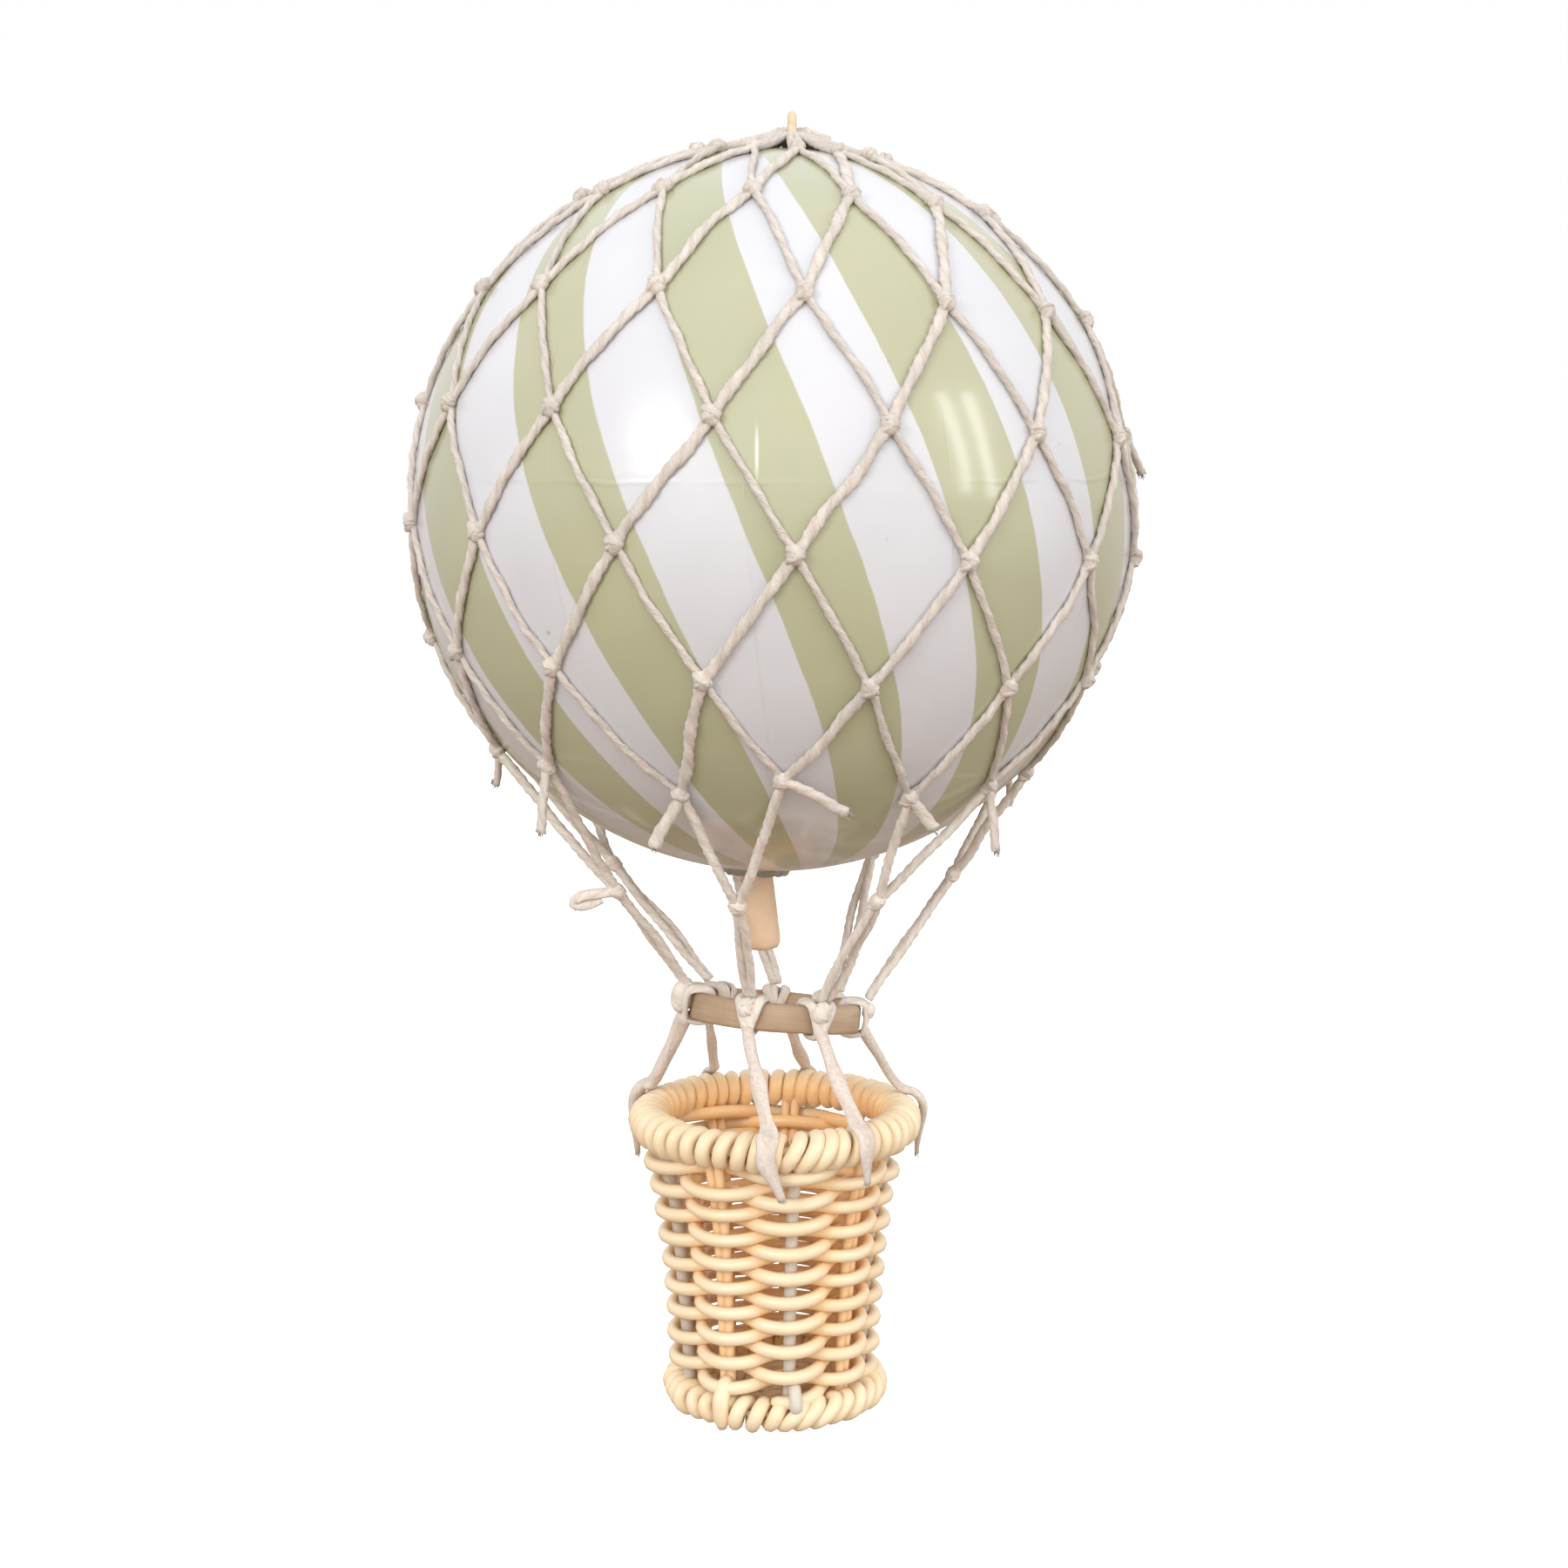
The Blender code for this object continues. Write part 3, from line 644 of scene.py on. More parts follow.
class BALLOON_OT_neck(bpy.types.Operator):
    """The tan rubber filler neck under the mouth: a soft tube with a rolled end that leans a little"""

    bl_idname = "balloon.make_neck"
    bl_label = "Filler neck"

    def execute(self, context):
        low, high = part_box("filler_neck")
        length = high.z - low.z
        outline = [(0.0006, 0.0), (0.0030, 0.0), (0.0030, -0.0012), (0.0024, -0.0024)]
        outline += [(0.0021 + 0.0001 * t, -0.0024 - t * (length - 0.0056) / 3) for t in range(4)]
        outline += [(0.00245, -length + 0.0018), (0.00238, -length + 0.0008), (0.0020, -length + 0.0001)]
        outline += [(0.0016, -length), (0.0013, -length + 0.0004), (0.0012, -length + 0.004), (0.0004, -length + 0.0042)]
        place = Matrix.Translation((low.x + 0.0029, 0, high.z - 0.0004)) @ Matrix.Rotation(math.radians(-5.3), 4, "Y")
        neck = lathe("rubber_neck", outline, 48, place)
        for vertex in neck.data.vertices:
            shift = noise.noise(vertex.co * 300)
            vertex.co.x += 0.00008 * shift
            vertex.co.y += 0.00008 * noise.noise(vertex.co * 260)
        rubber = Finish("tan rubber", Roughness=0.55, Subsurface_Weight=0.25, Subsurface_Scale=0.002)
        cloud = rubber.noise(rubber.place(), 300.0, 3.0)
        rubber.give("Base Color", rubber.mix(rubber.ramp(cloud, 0.3, 0.7), (0.69, 0.48, 0.31, 1), (0.78, 0.58, 0.40, 1)))
        rubber.give("Normal", rubber.bump(rubber.noise(rubber.place(), 1500.0, 2.0), 0.00005, 0.4))
        rubber.give("Roughness", rubber.ramp(cloud, 0.3, 0.7, 0.48, 0.62))
        finish_piece(neck, rubber, "latex", "filler_neck")
        return {"FINISHED"}


class BALLOON_OT_hang_ring(bpy.types.Operator):
    """The small lacquered wire ring over the crown"""

    bl_idname = "balloon.make_hang_ring"
    bl_label = "Hang ring"

    def execute(self, context):
        low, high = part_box("hang_ring")
        wire = high.x - low.x
        deselect()
        bpy.ops.mesh.primitive_torus_add(
            major_radius=(high.z - low.z - wire) / 2, minor_radius=wire / 2 * 0.96, major_segments=64,
            minor_segments=20, location=(0, 0, (low.z + high.z) / 2), rotation=(0, math.pi / 2, 0),
        )
        ring = context.object
        ring.name = "wire_ring"
        bpy.ops.object.transform_apply(location=True, rotation=True)
        ring.data.shade_smooth()
        wire_finish = Finish("lacquered wire", Metallic=0.1, Roughness=0.35)
        patch = wire_finish.noise(wire_finish.place(), 900.0, 3.0)
        wire_finish.give(
            "Base Color", wire_finish.mix(wire_finish.ramp(patch, 0.35, 0.65), (0.66, 0.47, 0.29, 1), (0.74, 0.58, 0.40, 1))
        )
        wire_finish.give("Roughness", wire_finish.ramp(patch, 0.3, 0.7, 0.22, 0.42))
        finish_piece(ring, wire_finish, "wire", "hang_ring", body="hanger")
        return {"FINISHED"}


def knot(cords, centre, along, outwards, size, cord, seed):
    """A small pulled knot: a lumpy core with a slack turn of cord over it."""
    along = np.array(unit(np.array(along, float)))
    out = np.array(outwards, float)
    out = unit(out - along * out.dot(along))
    side = np.cross(along, out)
    centre = np.array(centre, float)
    rng = np.random.default_rng(seed)
    for tilt, shift in ((rng.uniform(0.3, 0.9), 0.12), (rng.uniform(-0.9, -0.3), -0.12)):
        t = np.linspace(0, math.tau, 15)[:-1]
        a = size * 0.34
        ring = (
            centre + along * shift * size
            + np.outer(np.cos(t), side) * a
            + np.outer(np.sin(t), out) * a * 0.7
            + np.outer(np.cos(t) * math.tan(tilt) * a * 0.8, along)
        )
        cords.run(ring + rng.normal(0, 0.00008, ring.shape), cord * rng.uniform(0.5, 0.62), sides=7, closed=True)
    steps = np.linspace(-0.55, 0.55, 7)
    core = np.array([centre + along * step * size + side * rng.normal(0, 0.00008) for step in steps])
    cords.run(core, np.sqrt(1.06 - (steps / 0.56) ** 2) * size * 0.95, np.sqrt(1.06 - (steps / 0.56) ** 2) * size * 0.75, outwards=lambda p: Vector(out), sides=10)


def fray(cords, end, direction, cord, seed, length=0.0010):
    """Loose fibres at a cut end."""
    rng = np.random.default_rng(seed)
    direction = unit(np.array(direction, float))
    for _ in range(8):
        lean = unit(direction + rng.normal(0, 0.30, 3))
        start = np.array(end) - direction * 0.0004 + rng.normal(0, cord * 0.16, 3)
        mid = start + unit(direction + 0.5 * lean) * length * 0.5
        tip = mid + lean * length * rng.uniform(0.3, 0.7)
        cords.run(smooth([start, mid, tip], 0.0005), np.linspace(cord * 0.20, cord * 0.05, len(smooth([start, mid, tip], 0.0005))), sides=4)


def net_point(row, column, lift=0.0012):
    latitude, first = NET_ROWS[row]
    aside, up = SHIFTED_KNOTS.get((row, column), (0.0, 0.0))
    return on_ball(latitude + up, first + 360 * column / NET_COLUMNS + aside, lift)


def lay(start, end, lift, seed):
    """A cord from knot to knot over the ball, a little slack."""
    count = 9
    a = (Vector(start) - BALL_CENTRE)
    b = (Vector(end) - BALL_CENTRE)
    points = []
    for i in range(count):
        q = a.lerp(b, i / (count - 1))
        points.append(BALL_CENTRE + q.normalized() * (BALL_RADIUS + lift))
    path = wobble(smooth(points, 0.0008), 0.00055, 130, seed)
    out = unit(path - np.array(BALL_CENTRE))
    ripple = 0.00008 * np.sin(np.arange(len(path)) * 0.9 + seed)
    return np.array(BALL_CENTRE) + out * (BALL_RADIUS + lift + ripple)[:, None]


class BALLOON_OT_net(bpy.types.Operator):
    """The knotted net: twisted cord from knot to knot, with its knots and cut tails, gathered at the crown"""

    bl_idname = "balloon.make_net"
    bl_label = "Net"

    def execute(self, context):
        settings = context.scene.net_settings
        cord = settings.cord
        cords = Cords()
        knots = Cords()
        lift = 0.00045
        from_ball = lambda p: (p - BALL_CENTRE).normalized()
        seed = 0
        for row in range(len(NET_ROWS) - 1):
            for column in range(NET_COLUMNS):
                # the row below starts half a column to the left on even rows and to the right on odd ones
                for side in ((0, 1) if row % 2 == 0 else (-1, 0)):
                    seed += 1
                    path = lay(net_point(row, column), net_point(row + 1, (column + side) % NET_COLUMNS), lift, seed)
                    tight = 0.64 if side == (1 if row % 2 == 0 else 0) else 0.94
                    size = cord * tight * (1 + 0.10 * noise.noise(Vector((seed * 1.3, 0, 0))))
                    widths = size * (1 + 0.12 * np.sin(np.arange(len(path)) * 0.55 + seed * 2.1))
                    cords.run(path, widths, 0.00095, outwards=from_ball, sides=10, twist=0.0034, plies=0.12)
        for row in range(len(NET_ROWS)):
            for column in range(NET_COLUMNS):
                seed += 1
                spot = net_point(row, column, 0.0008)
                out = (spot - BALL_CENTRE).normalized()
                down = Vector((0, 0, -1)) - out * -out.z
                size = cord * (1.5 if row else 1.3)
                knot(knots, spot, down.normalized(), out, size, cord, seed)
        crown(cords, knots, cord)
        tails(cords, cord)
        finish = cotton("net cotton", settings.colour)
        cords.made("net_cords", finish, "net_cord", "net")
        knots.made("net_knots", finish, "net_cord", "net")
        return {"FINISHED"}


def crown(cords, knots, cord):
    """Doubled cords from the first row up to the gather under the hang ring."""
    top = BALL @ Vector((0, 0, CROWN_CORD_HEIGHT))
    for column in range(NET_COLUMNS):
        azimuth = NET_ROWS[0][1] + 360 * column / NET_COLUMNS
        for split in (-3.0, 3.0):
            points = [
                on_ball(NET_ROWS[0][0], azimuth, 0.0005),
                on_ball(79.0, azimuth + split, 0.0005),
                on_ball(83.0, azimuth + split * 1.5, cord * 0.6),
                on_ball(86.0, azimuth + split * 2, cord * 0.9),
                BALL @ at(0.0014, azimuth + split * 3, CROWN_CORD_HEIGHT - 0.0003),
            ]
            cords.run(smooth(points, 0.0008), cord * 0.7, sides=8, twist=0.0034, plies=0.13)
    bar = [top + Vector((x, 0, z)) for x, z in ((-0.0052, -0.0012), (-0.0030, -0.0004), (0, 0.0001), (0.0030, -0.0004), (0.0052, -0.0012))]
    cords.run(smooth(bar, 0.0007), cord * 0.8, sides=9, twist=0.0034, plies=0.13)
    for shift, turn in ((-0.0016, 0.4), (0.0016, -0.3)):
        knot(knots, top + Vector((shift, 0, -0.0004)), Vector((1, turn, 0)), Vector((0, 0, 1)), cord * 1.5, cord, 5)


TAILS = (
    # row and column of the knot, sideways, outwards, downwards, length
    (6, 0, 0.93, 0.25, -0.20, 0.0090),
    (6, 1, 0.75, 0.35, -0.6, 0.0048),
    (6, 13, -0.50, 0.15, -0.8, 0.0070),
    (6, 12, 0.05, 0.25, -1.0, 0.0080),
    (6, 2, -0.1, 0.3, -1.0, 0.0080),
    (6, 4, 0.4, 0.3, -0.9, 0.0065),
    (6, 6, -0.5, 0.3, -0.8, 0.0070),
    (6, 8, 0.6, 0.3, -0.7, 0.0060),
    (6, 10, -0.3, 0.3, -0.9, 0.0070),
    (3, 4, 0.1, 0.45, -0.9, 0.0052),
)


def tails(cords, cord):
    """The cut ends of the net's cords."""
    for number, (row, column, sideways, outwards, down, length) in enumerate(TAILS):
        spot = net_point(row, column, cord * 0.6)
        out = (spot - BALL_CENTRE).normalized()
        side = Vector((0, 0, 1)).cross(out).normalized()
        heading = (side * sideways + out * outwards + Vector((0, 0, down))).normalized()
        points = [spot, spot + heading * length * 0.35, spot + heading * length * 0.7 + Vector((0, 0, -0.0002)), spot + heading * length + Vector((0, 0, -0.0006))]
        path = wobble(smooth(points, 0.0007), 0.0004, 200, number)
        cords.run(path, np.linspace(cord * 0.95, cord * 1.15, len(path)), 0.0011, outwards=lambda p: out, sides=9, twist=0.0034, plies=0.1)
        fray(cords, path[-1], path[-1] - path[-3], cord, number)


class BALLOON_OT_stays(bpy.types.Operator):
    """Seven stays: two legs from the net meet in a knot, and a doubled cord runs on to a hitch on the cane ring"""

    bl_idname = "balloon.make_stays"
    bl_label = "Stays"

    def execute(self, context):
        settings = context.scene.net_settings
        # painted light: the stays' cotton is the net's colour made 1.25 times brighter, to lift the shade they hang
        # in below the ball
        finish = cotton("stay cotton", rgba(settings.colour, 1.25)[:3])
        for number, (knot_azimuth, hitch_azimuth, spread, bulk) in enumerate(STAYS):
            cords = Cords()
            spot = AXIS + at(STAY_KNOT_RADIUS, knot_azimuth, STAY_KNOT_HEIGHT)
            cord = settings.cord * 0.84
            for step in range(2):
                column = (FIRST_PAIR + 2 * number + step) % NET_COLUMNS
                above = net_point(len(NET_ROWS) - 1, column, cord * 0.55)
                sag = (above + spot) / 2 + Vector((0, 0, -0.0004))
                path = wobble(smooth([above, sag, spot], 0.0008), 0.0005, 150, number * 3 + step)
                cords.run(path, cord, sides=9, twist=0.0034, plies=0.12)
            top = RING @ at(RING_RADIUS + 0.0009, hitch_azimuth, RING_DEPTH / 2 + 0.0010)
            around = (spot - AXIS).cross(Vector((0, 0, 1))).normalized()
            for shift in (-spread / 2, spread / 2):
                middle = (spot + top) / 2 + around * shift * 1.9
                path = wobble(smooth([spot + around * shift * 0.5, middle, top + around * shift], 0.0008), 0.0005, 150, number * 5 + shift * 1e4)
                cords.run(path, cord * 0.92, sides=9, twist=0.0034, plies=0.12)
            knot(cords, spot, (top - spot).normalized(), (spot - AXIS).normalized(), cord * 2.0, cord, number)
            if number == len(STAYS) - 1:
                loop = [spot, spot + Vector((-0.0022, -0.0006, -0.0002)), spot + Vector((-0.0050, -0.0010, -0.0006)), spot + Vector((-0.0060, -0.0008, -0.0016)), spot + Vector((-0.0044, -0.0006, -0.0019)), spot + Vector((-0.0022, -0.0002, -0.0010))]
                path = smooth(loop, 0.0006)
                cords.run(path, cord * 1.1, 0.0006, outwards=lambda p: Vector((0, -1, 0.2)), sides=8)
                fray(cords, path[-8], path[-8] - path[-11], cord, 90)
            hitch(cords, hitch_azimuth, cord, number, bulk)
            cords.made(f"stay_cords_{number + 1}", finish, "net_cord", f"stay_{number + 1}")
        return {"FINISHED"}


def hitch(cords, azimuth, cord, seed, bulk):
    """Slack flat turns round the cane ring that cross on its outer side, and a pulled knot."""
    core = RING @ at((RING_RADIUS + RING_INNER_RADIUS) / 2, azimuth, 0)
    thick = cord * 0.6
    for turn, shift in ((-1.0, -0.0009), (1.0, 0.0007), (0.4, 0.0001)):
        outer = RING_RADIUS + thick / 2 + 0.0002
        inner = RING_INNER_RADIUS - thick / 2 - 0.0001
        half = RING_DEPTH / 2 + thick / 2 + 0.00005
        middle = (outer + inner) / 2
        corners = (
            (outer, -half * 0.85), (outer + 0.0003, 0), (outer, half * 0.85), (middle, half + 0.0001),
            (inner, half * 0.85), (inner, 0), (inner, -half * 0.85), (middle, -half - 0.0001),
        )
        loop = []
        for radius, height in corners:
            side = (shift + turn * 0.0008 * height / half) * bulk
            loop.append(RING @ (Matrix.Rotation(math.radians(azimuth), 4, "Z") @ Vector((side, -radius, height))))
        path = smooth(loop + loop[:1], 0.0007)[:-1]
        cords.run(path, cord * 1.1, thick, outwards=lambda p: p - core, sides=9, closed=True)
    centre = RING @ at(RING_RADIUS + 0.0011, azimuth - 2, 0.0012)
    knot(cords, centre, RING.to_3x3() @ Vector((0.2, 0, 1)), centre - RING_CENTRE, cord * 1.9 * bulk, cord, seed + 40)


class BALLOON_OT_load_ring(bpy.types.Operator):
    """The bent cane ring: a flat band with soft edges"""

    bl_idname = "balloon.make_load_ring"
    bl_label = "Cane ring"

    def execute(self, context):
        half = RING_DEPTH / 2
        soft = 0.0006
        outline = [
            (RING_RADIUS, half - soft), (RING_RADIUS, -half + soft), (RING_RADIUS - soft * 0.3, -half + soft * 0.3),
            (RING_RADIUS - soft, -half), (RING_INNER_RADIUS + soft, -half), (RING_INNER_RADIUS, -half + soft),
            (RING_INNER_RADIUS, half - soft), (RING_INNER_RADIUS + soft, half), (RING_RADIUS - soft, half),
            (RING_RADIUS - soft * 0.3, half - soft * 0.3), (RING_RADIUS, half - soft),
        ]
        ring = lathe("cane_ring", outline, 96, RING)
        for vertex in ring.data.vertices:
            vertex.co += noise.noise_vector(vertex.co * 120) * 0.00012
        cane = Finish("bent cane", Roughness=0.55)
        local = cane.node(
            "Mapping", {"vector_type": "POINT"},
            {"Vector": cane.place(), "Location": tuple(RING.inverted().translation), "Rotation": tuple(RING.inverted().to_euler())},
        )
        split = cane.node("SeparateXYZ", sockets={0: local})
        angle = cane.node("Math", {"operation": "ARCTAN2"}, {0: split, 1: Wire(cane, split.socket.node.outputs[1])})
        grain = cane.noise(cane.vector(angle * 1.2, Wire(cane, split.socket.node.outputs[2]) * 2600.0, 0.0), 1.0, 4.0, 0.6)
        patch = cane.noise(local, 130.0, 3.0)
        shade = cane.mix(cane.ramp(patch, 0.35, 0.7), (0.40, 0.275, 0.175, 1), (0.53, 0.39, 0.265, 1))
        shade = cane.mix(cane.ramp(grain, 0.45, 0.7, 0.0, 0.5), shade, (0.34, 0.22, 0.13, 1))
        cane.give("Base Color", shade)
        cane.give("Normal", cane.bump(grain, 0.00008, 0.5))
        cane.give("Roughness", cane.ramp(grain, 0.3, 0.7, 0.45, 0.65))
        finish_piece(ring, cane, "cane", "load_ring")
        return {"FINISHED"}


class BALLOON_OT_basket_cords(bpy.types.Operator):
    """Soft flat cords from the cane ring, laid over the rim, each with a cut tail"""

    bl_idname = "balloon.make_basket_cords"
    bl_label = "Basket cords"

    def execute(self, context):
        colour = context.scene.net_settings.colour
        finish = cotton("soft cotton", (colour[0] * 1.04, colour[1] * 1.01, colour[2]), 0.02)
        out_of = lambda p: Vector((p.x - AXIS.x, p.y - AXIS.y, 0.0005)).normalized()
        for number, (ring_azimuth, rim_azimuth, tail, aside, width, wide, thick) in enumerate(BASKET_CORDS):
            cords = Cords()
            clear = RIM_CORE / 2 + thick / 2 + 0.0001
            start = RING @ at(RING_RADIUS + 0.0006, ring_azimuth, -RING_DEPTH / 2 + 0.0004)
            over = [
                AXIS + at(RIM_RADIUS + clear * math.cos(t), rim_azimuth, RIM_Z + clear * math.sin(t))
                for t in (math.radians(a) for a in (78, 50, 22, -8))
            ]
            end = over[-1] + Vector((0, 0, -tail)) + (over[-1] - AXIS - Vector((0, 0, over[-1].z))).normalized() * -0.0006
            end += Matrix.Rotation(math.radians(rim_azimuth), 3, "Z") @ Vector((aside, 0, 0))
            line = [start, start.lerp(over[0], 0.33) + Vector((0, 0, -0.0004)), start.lerp(over[0], 0.7) + Vector((0, 0, -0.0005))]
            path = wobble(smooth(line + over + [over[-1].lerp(end, 0.5), end], 0.0008), 0.0006, 120, number + 20)
            share = np.linspace(0, 1, len(path))
            widths = np.interp(share, (0, 0.1, 0.35, 0.48, 0.64, 0.8, 1), (width * 0.8, width * 0.9, width * 1.15, width, wide, wide * 0.72, wide * 0.35))
            widths = widths * (1 + 0.10 * np.sin(np.arange(len(path)) * 0.7 + number * 2))
            thicks = np.interp(share, (0, 0.2, 0.8, 1), (thick * 1.3, thick, thick * 0.9, 0.0006))
            cords.run(path, widths, thicks, outwards=out_of, sides=14)
            fray(cords, path[-1], path[-1] - path[-3], 0.0010, number + 60, 0.0009)
            cords.made(f"soft_cord_{number + 1}", finish, "soft_cord", f"basket_cord_{number + 1}")
        return {"FINISHED"}


WALL_OUTLINE = (
    # height of the woven wall above the foot's middle as a share, outer radius
    (0.00, 0.0155),
    (0.08, 0.0156),
    (0.34, 0.0161),
    (0.57, 0.0169),
    (0.76, 0.0179),
    (0.85, 0.0188),
    (0.92, 0.0195),
    (1.00, 0.0200),
)
WALL_AXIS = AXIS + Vector((-0.0004, 0, 0))
STAKES = 9
FIRST_STAKE = 11.0
TAN_STAKES = (1, 3, 4, 5, 8)  # the others are bleached and single
STAKE_ENDS = (
    # stake, how far its end comes down outside the foot, below its middle, width
    (8, 0.0022, 0.0024),
    (0, -0.0012, 0.0019),
)


def wall_radius(height):
    share = (height - FOOT_Z) / (RIM_Z - FOOT_Z)
    return float(np.interp(share, [s for s, _ in WALL_OUTLINE], [r for _, r in WALL_OUTLINE]))


class BALLOON_OT_basket_wall(bpy.types.Operator):
    """The open woven wall: nine stakes and one long reed that goes outside and inside them by turns"""

    bl_idname = "balloon.make_basket_wall"
    bl_label = "Woven wall"

    def execute(self, context):
        settings = context.scene.basket_settings
        reed = settings.reed
        weave = Cords()
        swing = reed * 0.92
        low = FOOT_Z + FOOT_CORE / 2 - 0.0002
        high = RIM_Z - RIM_CORE / 2 + 0.0004
        rows = (high - low) / settings.row_pitch
        steps = int(rows * 120)
        path = []
        for i in range(steps + 1):
            turn = i / 120 * 360
            height = low + settings.row_pitch * turn / 360
            wave = math.cos(math.pi * (turn - FIRST_STAKE) / (360 / STAKES))
            # the reed lies flatter against the stakes than a plain wave
            pushed = math.copysign(abs(wave) ** 0.8, wave)
            slack = 0.0002 * noise.noise(Vector((turn * 0.011, 3.3, 0)))
            dip = -0.00042 * wave + 0.00022 * noise.noise(Vector((turn * 0.02, 0, 1.7)))
            loose = max(0.0, (height - (high - 0.0055)) / 0.0055)
            dip -= 0.0007 * loose * math.sin(math.radians(turn * 1.37))
            radius = wall_radius(height) - reed / 2 - swing + swing * pushed + slack
            path.append(WALL_AXIS + at(radius, turn, height + dip))
        rng = np.random.default_rng(3)
        thick = reed * (0.97 + 0.05 * np.sin(np.linspace(0, 60, len(path))))
        weave.tapered([tuple(p) for p in path], thick, sides=10)
        stakes = Cords()
        grey = Cords()
        for k in range(STAKES):
            azimuth = FIRST_STAKE + 360 / STAKES * k
            tan = k in TAN_STAKES
            for shift in ((-2.4, 2.4) if tan else (0.0,)):
                heights = np.linspace(FOOT_Z - 0.0012, RIM_Z + 0.0002, 12)
                line = [WALL_AXIS + at(wall_radius(z) - reed / 2 - swing, azimuth + shift, z) for z in heights]
                path = wobble(smooth(line, 0.0012), 0.0002, 90, k)
                (stakes if tan else grey).run(path, (0.0014 if tan else 0.0019) * rng.uniform(0.96, 1.05), sides=10)
        for k, drop, width in STAKE_ENDS:
            azimuth = FIRST_STAKE + 360 / STAKES * k
            outer = FOOT_RADIUS + FOOT_CORE / 2
            line = [
                AXIS + at(r, azimuth, z)
                for r, z in (
                    (wall_radius(FOOT_Z + 0.0050) - reed, FOOT_Z + 0.0050), (outer - 0.0012, FOOT_Z + 0.0030),
                    (outer - 0.0006, FOOT_Z + 0.0014), (outer - 0.0011, FOOT_Z - drop),
                )
            ]
            path = smooth(line, 0.0008)
            (weave if k in TAN_STAKES else grey).tapered(path, width, sides=12, reach=3)
        # the tuple sets where the painted orange bounce light begins on the wall's inner faces
        weave.made("woven_reed", rattan("wall reed", settings.colour, (0.0135, 0.11)), "rattan", "basket_wall")
        stakes.made("tan_stakes", rattan("tan stake", (settings.colour[0] * 1.06, settings.colour[1] * 0.92, settings.colour[2] * 0.76)), "rattan", "basket_wall")
        bleached = rattan("bleached stake", (0.60, 0.56, 0.50))
        grey.made("pale_stakes", bleached, "rattan", "basket_wall")
        return {"FINISHED"}


RIM_LEANS = (
    # azimuth, lean of the turns there in turns' widths
    (-180, 0.2), (-60, -0.2), (-20, 0.0), (0, 0.1), (8, 0.7), (18, 0.8), (28, 0.2), (60, 0.1), (180, 0.2),
)
FOOT_LEANS = (
    # azimuth, lean of the turns there in turns' widths
    (-180, 0.4), (-95, -0.3), (-50, -0.6), (-32, -0.1), (-24, 0.1), (4, 0.2), (14, 1.0), (70, 0.9), (110, 0.6), (180, 0.4),
)


def wrapped_ring(name, radius, height, core, reed, wraps, leans, seed, finish, node):
    """Turns of reed wound tightly round a ring, each with its own slant, over a plain core."""
    cords = Cords()
    rng = np.random.default_rng(seed)
    coil = (core - reed) / 2
    lift = rng.normal(0, 0.00010, wraps)
    pitch = 360 / wraps
    starts = np.cumsum(rng.uniform(0.88, 1.12, wraps))
    starts = starts / starts[-1] * 360
    lean = rng.normal(0, 0.14, wraps) + np.interp((starts + 180) % 360 - 180, *zip(*leans))
    steps = 18
    path = []
    for w in range(wraps):
        here, following = starts[w], starts[(w + 1) % wraps] + (360 if w + 1 == wraps else 0)
        for s in range(steps):
            share = s / steps
            tilt = lean[w] * (1 - share) + lean[(w + 1) % wraps] * share
            push = lift[w] * (1 - share) + lift[(w + 1) % wraps] * share
            psi = share * math.tau
            azimuth = here + (following - here) * share + tilt * pitch * 0.5 * math.sin(psi)
            r = coil + push
            path.append(AXIS + at(radius + r * math.cos(psi), azimuth, height + r * math.sin(psi)))
    cords.run([tuple(p) for p in path], reed, sides=10, closed=True)
    ring = [AXIS + at(radius, a, height) for a in np.linspace(0, 360, 73)[:-1]]
    cords.run([tuple(p) for p in ring], core - 2 * reed + 0.0002, sides=10, closed=True)
    return cords.made(name, finish, "rattan", node)


class BALLOON_OT_basket_rims(bpy.types.Operator):
    """The reed-wrapped rim and foot of the basket"""

    bl_idname = "balloon.make_basket_rims"
    bl_label = "Rim and foot"

    def execute(self, context):
        settings = context.scene.basket_settings
        # the last argument sets where the painted orange bounce light begins on the inner halves of the rim and foot
        finish = rattan("rim reed", settings.colour, (RIM_RADIUS - 0.0008 - 0.11 * (RIM_Z - FOOT_Z), 0.11))
        wrapped_ring("wrapped_rim", RIM_RADIUS, RIM_Z, RIM_CORE, 0.00218, settings.rim_wraps, RIM_LEANS, 11, finish, "basket_rim")
        wrapped_ring("wrapped_foot", FOOT_RADIUS, FOOT_Z, FOOT_CORE, 0.00215, settings.foot_wraps, FOOT_LEANS, 23, finish, "basket_foot")
        return {"FINISHED"}


